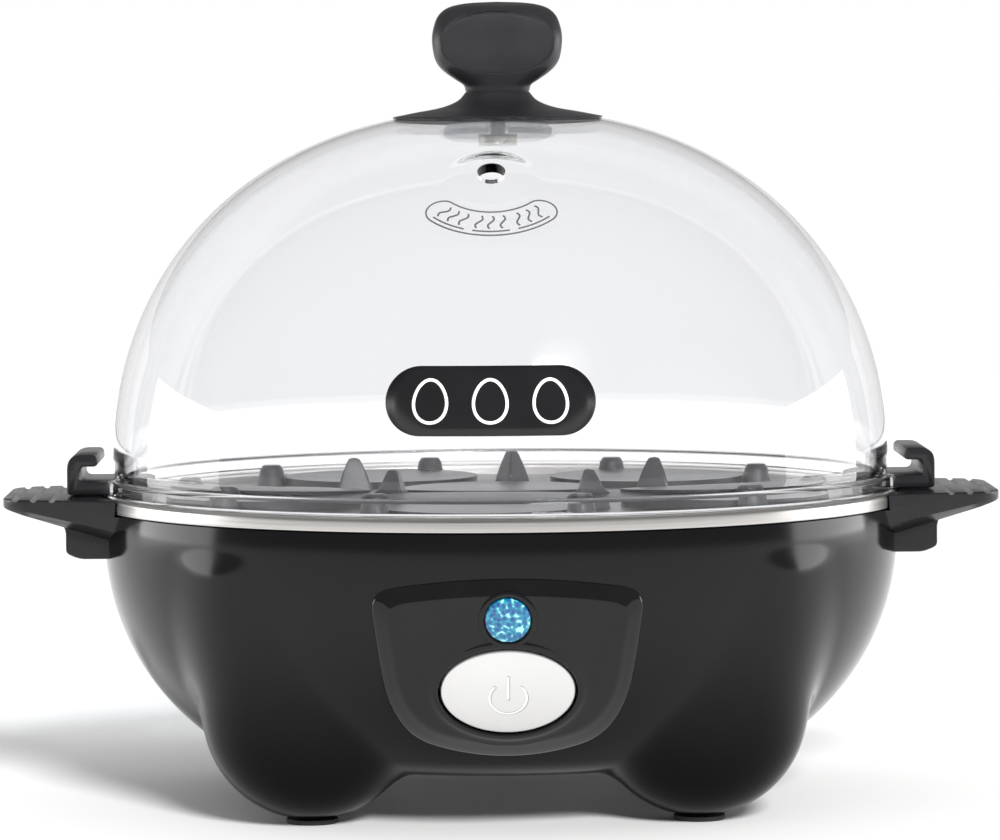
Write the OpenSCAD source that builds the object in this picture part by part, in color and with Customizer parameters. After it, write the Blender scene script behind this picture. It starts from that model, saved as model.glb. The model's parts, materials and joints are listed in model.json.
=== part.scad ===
/* [Bowl] */
// Radius of the bowl at its widest
body_r = 73.8; // [66:0.1:88]
// Height of the bowl's widest level above the table
widest_z = 50; // [44:0.5:60]
// Radius of the bowl's upright curve, from the widest level down
bowl_arc_r = 46; // [43:0.5:56]
// Height of the flat underside above the table
floor_z = 9; // [8:0.5:12]
// Wall of the moulded bowl
shell_wall = 2.5; // [2:0.1:3]
// Height of the steel rim's top above the widest level
rim_rise = 7.8; // [7:0.1:10]

/* [Feet] */
// Radius of the four round foot lobes
lobe_r = 19.8; // [17:0.1:23]
// Distance of each lobe's centre from the bowl's axis
lobe_place = 49.5; // [42:0.5:52]
// Thickness of a foot pad below its lobe
pad_h = 1.6; // [1.2:0.1:2.4]
// Radius of a foot pad
pad_r = 4.8; // [4:0.1:6]

/* [Heating plate] */
// Sheet thickness of the steel plate
sheet = 0.8; // [0.6:0.1:1]
// Height of the steel rim's outer skirt
skirt_h = 2.6; // [2:0.1:4]
// Depth of the water pan below the tray's ledge
pan_depth = 9.4; // [8:0.2:11]
// Width of the ledge that the tray stands on
ledge_w = 12.2; // [10:0.2:16]
// Radius of the aluminium heat spreader
spreader_r = 37; // [34:0.5:38]
// Radius of the heating tube's loop
element_loop_r = 31; // [28:0.5:32]
// Radius of the heating tube
element_r = 3.2; // [2.5:0.1:3.5]

/* [Side handles] */
// Reach of a handle's tip past the bowl
handle_reach = 18.7; // [15:0.1:24]
// Half width of a handle at its tip
handle_tip_w = 16.5; // [14:0.5:20]
// Half width of a handle at the bowl
handle_root_w = 29; // [25:0.5:32]
// Thickness of a handle at its tip
handle_tip_h = 2.8; // [2.4:0.1:4]
// Thickness of a handle at the bowl
handle_root_h = 9.2; // [8:0.1:10]

/* [Control panel] */
// Height of the panel's top edge above the table
panel_top_z = 47.1; // [45:0.1:48]
// Height of the panel's lowest edge above the table
panel_low_z = 14.7; // [13:0.1:17]
// Half width of the panel near its top
panel_top_w = 23.6; // [22:0.1:26]
// Half width of the panel near its bottom
panel_low_w = 20.4; // [18.5:0.1:22]
// Stand-out of the panel from the bowl at its top
panel_proud = 1.8; // [1.5:0.1:2.2]
// Width of the power button
button_w = 23.6; // [20:0.1:25]
// Height of the power button along the panel
button_h = 17.2; // [15:0.1:18]
// Travel of the power button
button_travel = 2; // [1:0.1:2.4]
// Radius of the indicator lens
lens_r = 4; // [3:0.1:5]

/* [Egg tray] */
// Thickness of the tray
tray_t = 2.2; // [1.8:0.1:3]
// Number of egg seats around the middle one
egg_count = 5; // [4:1:5]
// Radius of an egg seat's hole
egg_hole_r = 16.5; // [14:0.5:17.5]
// Width of a tray handle
tab_w = 24; // [18:1:28]
// Height of a tray handle above the steel rim
tab_h = 7.7; // [7:0.1:12]

/* [Lid] */
// Height of the dome's crown above its foot
lid_rise = 67.5; // [56:0.5:80]
// Squareness of the dome's curve, where 2 is an ellipse
lid_power = 2.2; // [2:0.05:2.5]
// Wall of the clear dome
lid_wall = 2; // [1.8:0.1:2.5]
// Radius of the steam hole
vent_hole_r = 2.5; // [2:0.1:3]
// Radius of the dish around the steam hole
vent_dish_r = 8.2; // [7:0.1:9]
// Half width of the knob's head
knob_w = 12.1; // [10:0.1:14]
// Half depth of the knob's head, front to back
knob_d = 7; // [6.5:0.1:8]
// Radius of the knob's flared foot
knob_skirt_r = 19.5; // [17:0.5:22]
// Height of the whole knob
knob_h = 21; // [19:0.5:26]

/* [Cord inlet] */
// Radius of the bore that takes the mains cord
cord_bore_r = 3.2; // [2.6:0.1:4]
// Height of the cord bore above the table
gland_z = 32; // [28:0.5:35]

/* [Clearances] */
// Gap between two moulded pieces that are fastened together
seat_gap = 0.1; // [0.05:0.05:0.2]
// Gap between a piece that lifts or slides and its neighbour
move_gap = 0.3; // [0.2:0.05:0.5]
// Gap around the power button
button_gap = 0.4; // [0.3:0.05:0.5]

/* [Hidden] */
$fn = 96;

// A cut goes this far past the faces it opens
cut = 1;
// A prism or a boring that only has to be long enough
far = 200;

// Two pieces that touch in use stay this far apart
fit = 0.05;
// A boring through the bowl's front goes this far in and this far out of the panel
deep = 20;
high = 10;

// Bowl
bowl_arc_x = body_r - bowl_arc_r;
rim_z = widest_z + rim_rise;
shell_top_z = rim_z - skirt_h - move_gap;
lobe_mid_z = pad_h + sqrt(pow(lobe_r, 2) - pow(pad_r, 2));
lobe_angles = [-45, 45, 135, 225];
pad_stem_r = 2;
pad_barb = 0.6;
pad_barb_h = 1.4;
cover_r = 31;
cover_t = 2;
cover_lip = 3;
cover_rib_h = 4;
cover_rib_t = 2;
cover_screw_place = cover_r - cover_lip / 2;
cover_screw_r = 0.8;
cover_pilot_r = 0.9;
cover_hole_r = 1.1;
cover_head_r = 1.9;
cover_head_h = 0.8;
cover_slot_w = 1.6;
cover_slot_len = 26;
cover_slot_step = 4;
cover_slots = 7;
lip_root = 2;

// Heating plate
rim_r = body_r + 0.3;
skirt_in_r = rim_r - sheet;
lip_out_r = skirt_in_r - 0.2;
lip_in_r = lip_out_r - 1.9;
upstand_out_r = lip_in_r - 0.2;
upstand_in_r = upstand_out_r - sheet;
ledge_z = rim_z - 4.4;
pan_r = upstand_in_r - ledge_w;
pan_floor_z = ledge_z - pan_depth;
pan_under_z = pan_floor_z - sheet;
gasket_t = 0.7;
lip_top_z = rim_z - sheet - gasket_t;
spreader_t = 2.4;
spreader_low_z = pan_under_z - spreader_t;
element_z = spreader_low_z - element_r - 0.4;
rib_half_w = element_r + 1.6;
element_gap_angle = 50;
pin_r = 1.6;
pin_turn = 3.4;
standoff_place = 41;
standoff_r = 3.4;
standoff_low_z = floor_z + shell_wall + 6;
boss_r = 4.4;
standoff_angles = [0, 180, 270];
standoff_seat_t = 3;
standoff_bore = 12;
plate_screw_in = 9;
pin_drop = 9;
blade_t = 0.8;
blade_w = 4;
blade_h = 7;
blade_place = 4;

// Thermostat and fuse
thermostat_r = 9;
thermostat_h = 6.5;
thermostat_low_z = spreader_low_z - thermostat_h;
strap_w = 12;
strap_t = 1;
strap_z = thermostat_low_z - strap_t;
strap_reach = 19;
strap_post_r = 2.8;
strap_end = 5;
strap_screw = 7;
cap_r = 6;
cap_h = 4.5;
fuse_lead = 4;
fuse_lead_r = 0.6;
clip_w = 4;
clip_t = 0.6;
fuse_r = 2;
fuse_len = 13;
fuse_y = 18;

// Small screws: shank, head and head height
screw_r = 1.4;
screw_hole_r = 1.5;
head_r = 2.6;
head_h = 1.6;
head_gap = 0.3;
pilot_r = screw_r + fit;

// Side handles
handle_tip_x = body_r + handle_reach;
handle_top_z = rim_z + 0.1;
handle_fall = 0.8;
handle_corner_r = 6;
handle_inner_x = body_r - 12;
handle_flare = 3;
handle_heel = 4;
handle_clear_r = rim_r + move_gap;
groove_r = 0.7;
groove_step = 3.45;
groove_count = 3;
groove_inset = 2.1;
groove_widen = 2.6;
handle_screw_y = 12;
handle_screw_z = rim_z - 8.6;
gusset_w = 6.4;
gusset_reach = 12;
gusset_drop = 1.9;
gusset_root = 4;

// Control panel
panel_arc_r = bowl_arc_r + 4;
panel_arc_x = body_r + panel_proud - panel_arc_r;
panel_bevel_w = 1.7;
panel_bevel_h = 1.1;
panel_corner_r = 5;
panel_top_arc_r = 150;
panel_low_arc_r = 38;
button_z = panel_low_z + 12;
lens_z = panel_top_z - 7;
button_y = panel_arc_x + sqrt(pow(panel_arc_r, 2) - pow(widest_z - button_z, 2));
button_tilt = asin((widest_z - button_z) / panel_arc_r);
lens_y = panel_arc_x + sqrt(pow(panel_arc_r, 2) - pow(widest_z - lens_z, 2));
lens_tilt = asin((widest_z - lens_z) / panel_arc_r);
button_rise = 0.8;
button_lip_w = 1.4;
button_lip_h = 0.5;
button_flange_w = 0.9;
button_flange_t = 1.2;
button_flange_s = -5.2;
window_w = button_flange_w + 0.5;
plunger_r = 2;
plunger_head_r = 2.8;
plunger_head_t = 0.8;
plunger_in = 2.4;
switch_w = 13;
switch_h = 10;
switch_d = 10;
bracket_t = 1.2;
switch_front_s = button_flange_s - button_flange_t - button_travel - bracket_t - 0.4;
post_x = button_w / 2 + 4.7;
post_r = 2.8;
post_low_s = switch_front_s + bracket_t + fit;
post_bore = 3.6;
lens_collar_w = 1;
lens_collar_h = 0.4;
lens_dome = 0.7;
lens_shank = 3.4;
lamp_r = 1.5;
lamp_len = 4.4;
holder_r = 2.6;
holder_len = 3.6;
holder_base_t = 1.6;
holder_pin_r = 0.4;
holder_pin_len = 2;
holder_pin_place = 1.3;
panel_screw_x = 14.5;
panel_screw_z = panel_top_z - 5.5;
panel_boss_r = 2.6;
panel_face_t = 1.4;
panel_head_r = head_r + 0.8;

// Cord inlet
gland_boss_r = 9;
gland_boss_y = bowl_r_at(gland_z + gland_boss_r, 0) + 0.1;
gland_body_r = 6;
gland_flange_r = 8;
gland_flange_t = 3;
gland_in_y = gland_boss_y - 16;
nut_r = 8.5;
nut_t = 3;

// Terminal block and leads
block_y = 36;
block_w = 24;
block_d = 10;
block_h = 9;
block_ways = 3;
block_step = 8;
block_wire_r = 1.6;
block_screw_r = 1.8;
lead_r = 1.1;

// Egg tray
tray_r = upstand_in_r - 0.6;
tray_low_z = ledge_z + move_gap;
tray_top_z = tray_low_z + tray_t;
seat_ring_r = tray_r * 0.632;
seat_turn = -5;
seat_lip = 1.6;
seat_lip_h = 3.6;
stud_place = tray_r - 11.2;
stud_low_r = 2.85;
stud_top_r = 1.6;
stud_h = 4.2;
stud_turn = 18;
fin_place = tray_r * 0.43;
fin_low_r = 3.6;
fin_top_r = 0.7;
fin_h = 7.2;
seat_flare = 2;
seat_flare_h = 1.5;
riser_t = 4;
arm_low_z = rim_z + move_gap;
arm_t = 2.3;
arm_top_z = arm_low_z + arm_t;
tab_in_x = rim_r + 0.4;
tab_out_x = rim_r + 6;
tab_wall = 2.2;
tab_top_z = rim_z + tab_h;
tab_round = 1.6;

// Lid
lid_foot_z = rim_z + move_gap;
lid_mid_z = rim_z + 3.2;
lid_r = body_r - 1.6;
lid_flange_r = rim_r - 0.2;
lid_flange_t = 2.6;
lid_steps = 28;
lid_notch_d = 14;
notch_gap = 0.8;
lid_notch_w = tab_w / 2 + notch_gap;
lid_notch_z = arm_top_z + notch_gap;
lid_top_z = lid_mid_z + lid_rise;
vent_r = lid_r * 0.616;
vent_z = lid_z_at(vent_r, 0);
vent_tilt = lid_tilt(vent_r);
vent_turn = -2.5;
vent_hole_up = 2.5;
vent_depth = 1;
vent_ball_r = 1 / (2 * vent_depth / pow(vent_dish_r, 2) - 1 / lid_rise);
knob_foot_z = lid_z_at(knob_skirt_r, 0);
knob_neck_r = knob_w * 0.49;
knob_neck_z = knob_foot_z + 5.2;
knob_top_z = knob_foot_z + knob_h + 0.7;
knob_edge_r = 3.4;
knob_crown_r = 2.6;
knob_boss_r = 3.9;
knob_hole_r = knob_boss_r + seat_gap;
washer_r = 10.7;
washer_t = 2.2;
lid_screw_in = 10;
washer_top_z = lid_z_at(washer_r, lid_wall) - seat_gap;
dimple_ball_r = 7.6;
dimple_span = 5.4;
dimple_depth = 2.2;

// Radius of the bowl's outside at height z, grown outward by g
function bowl_r_at(z, g) = bowl_arc_x + sqrt(pow(bowl_arc_r + g, 2) - pow(widest_z - z, 2));

// Height of the dome at radius r, on the surface that lies in by the given wall
function lid_z_at(r, inset) =
    lid_mid_z + (lid_rise - inset) * pow(1 - pow(r / (lid_r - inset), lid_power), 1 / lid_power);

// Angle above level of the dome's outward normal at radius r
function lid_tilt(r) = atan2(
    pow((lid_z_at(r, 0) - lid_mid_z) / lid_rise, lid_power - 1) / lid_rise,
    pow(r / lid_r, lid_power - 1) / lid_r
);

// Outline of the dome from its middle level to the axis, in by the given wall
function lid_curve(inset) = concat(
    [for (i = [0 : lid_steps - 1])
        let (a = 90 * i / lid_steps)
        [
            (lid_r - inset) * pow(cos(a), 2 / lid_power),
            lid_mid_z + (lid_rise - inset) * pow(sin(a), 2 / lid_power)
        ]],
    [[0, lid_mid_z + lid_rise - inset]]
);

// Points of an ellipse
function ellipse_points(w, h) = [for (i = [0 : 47]) [w / 2 * cos(7.5 * i), h / 2 * sin(7.5 * i)]];

// Solid bowl between two heights, grown outward by g
module bowl_solid(g, low, high) {
    rotate_extrude()
        intersection() {
            union() {
                translate([bowl_arc_x, widest_z]) circle(bowl_arc_r + g);
                translate([0, low]) square([bowl_arc_x, high - low]);
            }
            translate([0, low]) square([far, high - low]);
        }
}

// Solid under the panel's curved front, grown outward by g
module panel_round(g) {
    rotate_extrude()
        intersection() {
            translate([panel_arc_x, widest_z]) circle(panel_arc_r + g);
            translate([panel_arc_x, panel_low_z - high]) square([far, widest_z + high - panel_low_z]);
        }
}

// Closed ring of rectangular section
module ring(r_in, r_out, low, high) {
    rotate_extrude() translate([r_in, low]) square([r_out - r_in, high - low]);
}

// Screw with its tip on +Z and its head under the origin
module screw(shank, r, head) {
    translate([0, 0, -head_h]) cylinder(h = head_h, r = head);
    translate([0, 0, -cut / 2]) cylinder(h = shank + cut / 2, r = r);
}

// Places children at each foot lobe
module at_lobes() {
    for (a = lobe_angles) rotate([0, 0, a]) translate([lobe_place, 0, 0]) children();
}

// Places children on the button's axis, with +Z out of the panel
module at_button() {
    translate([0, -button_y, button_z]) rotate([90 + button_tilt, 0, 0]) children();
}

// Places children on the lens's axis, with +Z out of the panel
module at_lens() {
    translate([0, -lens_y, lens_z]) rotate([90 + lens_tilt, 0, 0]) children();
}

// Places children on the cord's axis, with +Z out of the rear
module at_gland() {
    translate([0, 0, gland_z]) rotate([-90, 0, 0]) children();
}

// Oval prism along the button's axis, between two distances from the panel
module button_oval(grow_w, grow_h, low, high) {
    at_button()
        translate([0, 0, low])
            linear_extrude(high - low) polygon(ellipse_points(button_w + 2 * grow_w, button_h + 2 * grow_h));
}

// Control panel's outline from the front, in by the given margin
module panel_outline(inset) {
    offset(r = panel_corner_r - inset, $fn = 32)
        offset(delta = -panel_corner_r)
            intersection() {
                polygon([
                    [-panel_low_w, panel_low_z], [panel_low_w, panel_low_z],
                    [panel_top_w, panel_top_z - 4], [panel_top_w, panel_top_z + 1],
                    [-panel_top_w, panel_top_z + 1], [-panel_top_w, panel_top_z - 4]
                ]);
                translate([0, panel_top_z - panel_top_arc_r]) circle(panel_top_arc_r, $fn = 240);
                translate([0, panel_low_z + panel_low_arc_r]) circle(panel_low_arc_r);
            }
}

// Prism of the panel's outline toward the front
module panel_prism(inset) {
    rotate([90, 0, 0]) translate([0, 0, bowl_arc_x]) linear_extrude(far) panel_outline(inset);
}

// Bowl with its four foot lobes, as one solid grown outward by g
module bowl_and_lobes(g, low) {
    bowl_solid(g, low, shell_top_z);
    at_lobes() translate([0, 0, lobe_mid_z]) sphere(lobe_r + g);
}

module base_shell() {
    color("#141414")
        difference() {
            union() {
                difference() {
                    bowl_and_lobes(0, floor_z);
                    bowl_and_lobes(-shell_wall, floor_z + shell_wall);
                    translate([0, 0, shell_top_z - cut]) cylinder(h = 2 * cut, r = lip_in_r);
                }
                ring(lip_in_r, lip_out_r, shell_top_z - lip_root, lip_top_z);
                for (a = standoff_angles)
                    rotate([0, 0, a])
                        translate([standoff_place, 0, floor_z])
                            cylinder(h = standoff_low_z - floor_z, r = boss_r);
                intersection() {
                    for (x = [-post_x, post_x])
                        at_button() translate([x, 0, post_low_s]) cylinder(h = -post_low_s, r = post_r);
                    bowl_solid(-1, floor_z, shell_top_z);
                }
                intersection() {
                    at_gland()
                        translate([0, 0, gland_in_y + nut_t + seat_gap])
                            cylinder(h = gland_boss_y - gland_in_y - nut_t - seat_gap, r = gland_boss_r);
                    bowl_solid(deep, floor_z, shell_top_z);
                }
            }
            translate([0, 0, -cut]) cylinder(h = pad_h + cut, r = body_r);
            cylinder(h = widest_z, r = cover_r - cover_lip);
            translate([0, 0, floor_z - cut]) cylinder(h = cover_t + cut, r = cover_r + seat_gap);
            for (a = [0 : 90 : 270])
                rotate([0, 0, a]) translate([cover_screw_place, 0, 0])
                    cylinder(h = widest_z, r = cover_pilot_r);
            at_lobes() cylinder(h = widest_z / 2, r = pad_stem_r + seat_gap);
            for (a = standoff_angles)
                rotate([0, 0, a]) translate([standoff_place, 0, 0]) {
                    cylinder(h = widest_z, r = screw_hole_r);
                    cylinder(h = standoff_low_z - standoff_seat_t, r = head_r + head_gap);
                }
            at_gland() cylinder(h = far, r = gland_body_r + seat_gap);
            button_oval(window_w, button_gap + 0.5, -deep, high);
            for (x = [-post_x, post_x])
                at_button()
                    translate([x, 0, post_low_s - cut]) cylinder(h = post_bore + cut, r = pilot_r);
            at_lens() translate([0, 0, -deep]) cylinder(h = deep + high, r = lens_r);
            for (x = [-panel_screw_x, panel_screw_x])
                translate([x, 0, panel_screw_z])
                    rotate([90, 0, 0]) cylinder(h = far, r = panel_boss_r + seat_gap);
            for (side = [0, 180], y = [-handle_screw_y, handle_screw_y])
                rotate([0, 0, side])
                    translate([0, y, handle_screw_z])
                        rotate([0, 90, 0]) cylinder(h = far, r = screw_hole_r);
        }
}

module base_cover() {
    color("#1c1c1c")
        difference() {
            union() {
                translate([0, 0, floor_z]) cylinder(h = cover_t - seat_gap, r = cover_r);
                translate([0, 0, floor_z])
                    ring(cover_r - cover_lip - cover_rib_t, cover_r - cover_lip - seat_gap, 0, cover_rib_h);
            }
            for (i = [0 : cover_slots - 1])
                translate([cover_slot_step * (i - (cover_slots - 1) / 2), 0, floor_z])
                    cube([cover_slot_w, cover_slot_len, 2 * cover_t + cut], center = true);
            for (a = [0 : 90 : 270])
                rotate([0, 0, a]) translate([cover_screw_place, 0, 0])
                    cylinder(h = widest_z, r = cover_hole_r);
        }
}

module cover_screws() {
    color("silver")
        for (a = [0 : 90 : 270])
            rotate([0, 0, a]) translate([cover_screw_place, 0, floor_z - seat_gap]) {
                translate([0, 0, -cover_head_h]) cylinder(h = cover_head_h, r = cover_head_r);
                translate([0, 0, -cut / 2]) cylinder(h = shell_wall + cut, r = cover_screw_r);
            }
}

module foot_pad(angle) {
    color("#2a2a2a")
        rotate([0, 0, angle])
            translate([lobe_place, 0, 0]) {
                cylinder(h = pad_h, r = pad_r - seat_gap);
                translate([0, 0, pad_h - cut / 2]) cylinder(h = shell_wall + cut, r = pad_stem_r);
                translate([0, 0, pad_h + shell_wall + 0.3])
                    cylinder(h = pad_barb_h, r1 = pad_stem_r + pad_barb, r2 = pad_stem_r - 0.4);
            }
}

// Plan of a handle, toward +X
module handle_plan() {
    hull() {
        for (side = [-1, 1])
            translate([handle_tip_x - handle_corner_r, side * (handle_tip_w - handle_corner_r)])
                circle(handle_corner_r, $fn = 32);
        translate([handle_inner_x, 0]) square([seat_gap, 2 * (handle_root_w + handle_flare)], center = true);
    }
}

// Side outline of a handle
module handle_side() {
    polygon([
        [handle_inner_x, handle_top_z],
        [handle_tip_x, handle_top_z - handle_fall],
        [handle_tip_x, handle_top_z - handle_fall - handle_tip_h],
        [body_r, handle_top_z - handle_root_h],
        [handle_inner_x, handle_top_z - handle_root_h - handle_heel]
    ]);
}

// Side outline of a gusset under a handle
module gusset_side() {
    polygon([
        [body_r - gusset_root, handle_top_z - handle_tip_h],
        [body_r + gusset_reach, handle_top_z - handle_tip_h],
        [body_r + gusset_reach - 3, handle_top_z - handle_root_h + 1],
        [body_r + gusset_drop, handle_top_z - handle_root_h - gusset_drop],
        [body_r - gusset_root, handle_top_z - handle_root_h - gusset_drop]
    ]);
}

// Upright prism of a handle's plan cut to its side outline
module handle_block() {
    intersection() {
        translate([0, 0, floor_z]) linear_extrude(far) handle_plan();
        rotate([90, 0, 0]) translate([0, 0, -far / 2]) linear_extrude(far) handle_side();
    }
}

// Half length of each groove, longer toward the bowl
function groove_reach(i) = handle_tip_w - handle_corner_r + groove_widen * i;

// Handle toward +X
module handle_body() {
    difference() {
        union() {
            handle_block();
            for (y = [-handle_screw_y, handle_screw_y])
                translate([0, y, 0])
                    rotate([90, 0, 0])
                        translate([0, 0, -gusset_w / 2]) linear_extrude(gusset_w) gusset_side();
        }
        bowl_solid(seat_gap, floor_z, shell_top_z + high);
        translate([0, 0, shell_top_z - 0.5]) cylinder(h = far, r = handle_clear_r);
        for (i = [0 : groove_count - 1])
            translate([handle_tip_x - groove_inset - groove_step * i, 0, handle_top_z - handle_fall + 0.15])
                rotate([90, 0, 0])
                    cylinder(h = 2 * groove_reach(i), r = groove_r, center = true);
        for (y = [-handle_screw_y, handle_screw_y])
            translate([0, y, handle_screw_z])
                rotate([0, 90, 0]) cylinder(h = body_r + gusset_reach - handle_heel, r = pilot_r);
    }
}

module handle_left() {
    color("#161616") mirror([1, 0, 0]) handle_body();
}

module handle_right() {
    color("#161616") handle_body();
}

module handle_screws() {
    inner_r = bowl_r_at(handle_screw_z, -shell_wall);
    seat_x = sqrt(pow(inner_r, 2) - pow(handle_screw_y + head_r, 2)) - head_gap;
    color("silver")
        for (side = [0, 180], y = [-handle_screw_y, handle_screw_y])
            rotate([0, 0, side])
                translate([seat_x, y, handle_screw_z])
                    rotate([0, 90, 0]) screw(body_r + gusset_reach / 2 - seat_x, screw_r, head_r - head_gap);
}

module heater_plate() {
    color("#c9c9c7")
        rotate_extrude() {
            translate([0, pan_under_z]) square([pan_r + sheet, sheet]);
            translate([pan_r, pan_under_z]) square([sheet, ledge_z - pan_under_z]);
            translate([pan_r, ledge_z - sheet]) square([upstand_out_r - pan_r, sheet]);
            translate([upstand_in_r, ledge_z - sheet]) square([sheet, rim_z - ledge_z + sheet]);
            difference() {
                union() {
                    translate([upstand_in_r, rim_z - sheet]) square([rim_r - upstand_in_r - sheet, sheet]);
                    translate([skirt_in_r, rim_z - skirt_h]) square([sheet, skirt_h - sheet]);
                    translate([skirt_in_r, rim_z - sheet]) circle(sheet);
                }
                translate([skirt_in_r - sheet, rim_z - sheet - skirt_h]) square([sheet, skirt_h]);
            }
        }
}

module plate_gasket() {
    color("#b5483a") ring(lip_in_r + 0.2, lip_out_r - 0.1, lip_top_z, rim_z - sheet);
}

// Tube loop of the heating element, grown by g, with a gap toward the front
module element_loop(g) {
    rotate([0, 0, -90 + element_gap_angle / 2])
        rotate_extrude(angle = 360 - element_gap_angle)
            translate([element_loop_r, element_z]) circle(element_r + g, $fn = 48);
}

module heat_spreader() {
    color("#d8dadc")
        difference() {
            union() {
                translate([0, 0, spreader_low_z]) cylinder(h = spreader_t, r = spreader_r);
                ring(
                    element_loop_r - rib_half_w, element_loop_r + rib_half_w,
                    element_z, spreader_low_z + cut
                );
                for (x = [-strap_reach, strap_reach])
                    translate([x, 0, strap_z + strap_t])
                        cylinder(h = spreader_low_z - strap_z - strap_t + cut, r = strap_post_r);
            }
            rotate_extrude() translate([element_loop_r, element_z]) circle(element_r + seat_gap, $fn = 48);
            rotate_extrude()
                translate([element_loop_r - element_r - seat_gap, element_z - 2 * element_r])
                    square([2 * (element_r + seat_gap), 2 * element_r]);
            for (x = [-strap_reach, strap_reach])
                translate([x, 0, 0]) cylinder(h = spreader_low_z + 1, r = screw_hole_r);
        }
}

module heating_element() {
    color("#8e8e92") element_loop(0);
}

module element_terminals() {
    color("#d0b060")
        for (side = [-1, 1])
            rotate([0, 0, side * (element_gap_angle / 2 - pin_turn)])
                translate([0, -element_loop_r, element_z]) {
                    rotate([0, 90 * side, 0])
                        cylinder(h = element_loop_r * sin(pin_turn) - seat_gap, r = pin_r);
                    sphere(pin_r);
                    translate([0, 0, -pin_drop]) cylinder(h = pin_drop, r = pin_r);
                    translate([-blade_t / 2, -blade_w / 2, -pin_drop - blade_h + cut])
                        cube([blade_t, blade_w, blade_h]);
                }
}

module plate_standoffs() {
    color("#a8a8aa")
        for (a = standoff_angles)
            rotate([0, 0, a])
                translate([standoff_place, 0, standoff_low_z])
                    difference() {
                        cylinder(h = pan_under_z - standoff_low_z, r = standoff_r);
                        translate([0, 0, -cut]) cylinder(h = standoff_bore + cut, r = pilot_r);
                    }
}

module plate_screws() {
    color("silver")
        for (a = standoff_angles)
            rotate([0, 0, a])
                translate([standoff_place, 0, standoff_low_z - standoff_seat_t - fit])
                    screw(standoff_seat_t + plate_screw_in, screw_r, head_r);
}

module thermostat() {
    color("#b8b8bc") {
        translate([0, 0, thermostat_low_z]) cylinder(h = thermostat_h, r = thermostat_r);
        translate([0, 0, thermostat_low_z - cap_h]) cylinder(h = cap_h + cut / 2, r = cap_r);
        for (y = [-blade_place, blade_place])
            translate([-blade_w / 2, y - blade_t / 2, thermostat_low_z - cap_h - blade_h + cut / 2])
                cube([blade_w, blade_t, blade_h]);
    }
}

module thermostat_bracket() {
    color("#c0c0c0")
        translate([0, 0, strap_z])
            difference() {
                union() {
                    translate([-strap_reach - strap_end, -strap_w / 2, 0])
                        cube([2 * (strap_reach + strap_end), strap_w, strap_t]);
                    cylinder(h = strap_t, r = thermostat_r);
                }
                translate([0, 0, -cut]) cylinder(h = strap_t + 2 * cut, r = cap_r + seat_gap);
                for (x = [-strap_reach, strap_reach])
                    translate([x, 0, -cut]) cylinder(h = strap_t + 2 * cut, r = screw_hole_r);
            }
}

module thermostat_screws() {
    color("silver")
        for (x = [-strap_reach, strap_reach])
            translate([x, 0, strap_z - fit]) screw(strap_screw, screw_r, head_r);
}

module thermal_fuse() {
    color("#e6e2d8")
        translate([0, fuse_y, spreader_low_z - fuse_r - 0.3])
            rotate([0, 90, 0]) {
                cylinder(h = fuse_len, r = fuse_r, center = true);
                cylinder(h = fuse_len + 2 * fuse_lead, r = fuse_lead_r, center = true);
            }
}

module fuse_clip() {
    slot_w = 2 * (fuse_r + 0.2);
    low = spreader_low_z - 2 * fuse_r - 0.4;
    color("#b0b0b0")
        translate([0, fuse_y, 0]) {
            difference() {
                translate([-clip_w / 2, -slot_w / 2 - clip_t, low - clip_t])
                    cube([clip_w, slot_w + 2 * clip_t, spreader_low_z - low + clip_t]);
                translate([-clip_w, -slot_w / 2, low]) cube([2 * clip_w, slot_w, spreader_low_z - low + cut]);
            }
        }
}

module control_panel() {
    color("#0c0c0c")
        difference() {
            union() {
                difference() {
                    union() {
                        intersection() {
                            panel_prism(0);
                            panel_round(-panel_bevel_h);
                        }
                        intersection() {
                            panel_prism(panel_bevel_w);
                            panel_round(0);
                        }
                        intersection() {
                            button_oval(button_gap + button_lip_w, button_gap + button_lip_w, -high, high);
                            panel_round(button_lip_h);
                        }
                        intersection() {
                            at_lens() cylinder(h = high, r = lens_r + lens_collar_w, center = true);
                            panel_round(lens_collar_h);
                        }
                    }
                    bowl_solid(seat_gap, 0, widest_z);
                }
                for (x = [-panel_screw_x, panel_screw_x])
                    translate([x, 0, panel_screw_z])
                        rotate([90, 0, 0])
                            translate([0, 0, panel_boss_low()])
                                cylinder(h = panel_boss_high() - panel_boss_low(), r = panel_boss_r);
            }
            button_oval(button_gap, button_gap, -deep, high);
            at_lens() translate([0, 0, -deep]) cylinder(h = deep + high, r = lens_r + fit);
            for (x = [-panel_screw_x, panel_screw_x])
                translate([x, 0, panel_screw_z])
                    rotate([90, 0, 0]) cylinder(h = panel_boss_high() - panel_face_t, r = pilot_r);
        }
}

// Where a panel boss starts inside the bowl and ends in the panel, along -Y
function panel_boss_low() =
    sqrt(pow(bowl_r_at(panel_screw_z, -shell_wall), 2) - pow(panel_screw_x + panel_boss_r, 2)) - 0.4;
function panel_boss_high() =
    sqrt(pow(bowl_r_at(panel_screw_z, 0), 2) - pow(panel_screw_x, 2)) + 1;

module panel_screws() {
    color("silver")
        for (x = [-panel_screw_x, panel_screw_x])
            translate([x, -panel_boss_low() + 0.8, panel_screw_z])
                rotate([90, 0, 0]) screw(panel_boss_high() - panel_boss_low() - 1, screw_r, panel_head_r);
}

module indicator_lens() {
    ball_r = (pow(lens_r, 2) + pow(lens_dome, 2)) / (2 * lens_dome);
    color("#3f7fd0")
        at_lens()
            intersection() {
                translate([0, 0, -lens_shank]) cylinder(h = lens_shank + 2 * cut, r = lens_r - seat_gap);
                translate([0, 0, lens_dome + seat_gap - ball_r]) sphere(ball_r);
            }
}

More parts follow.
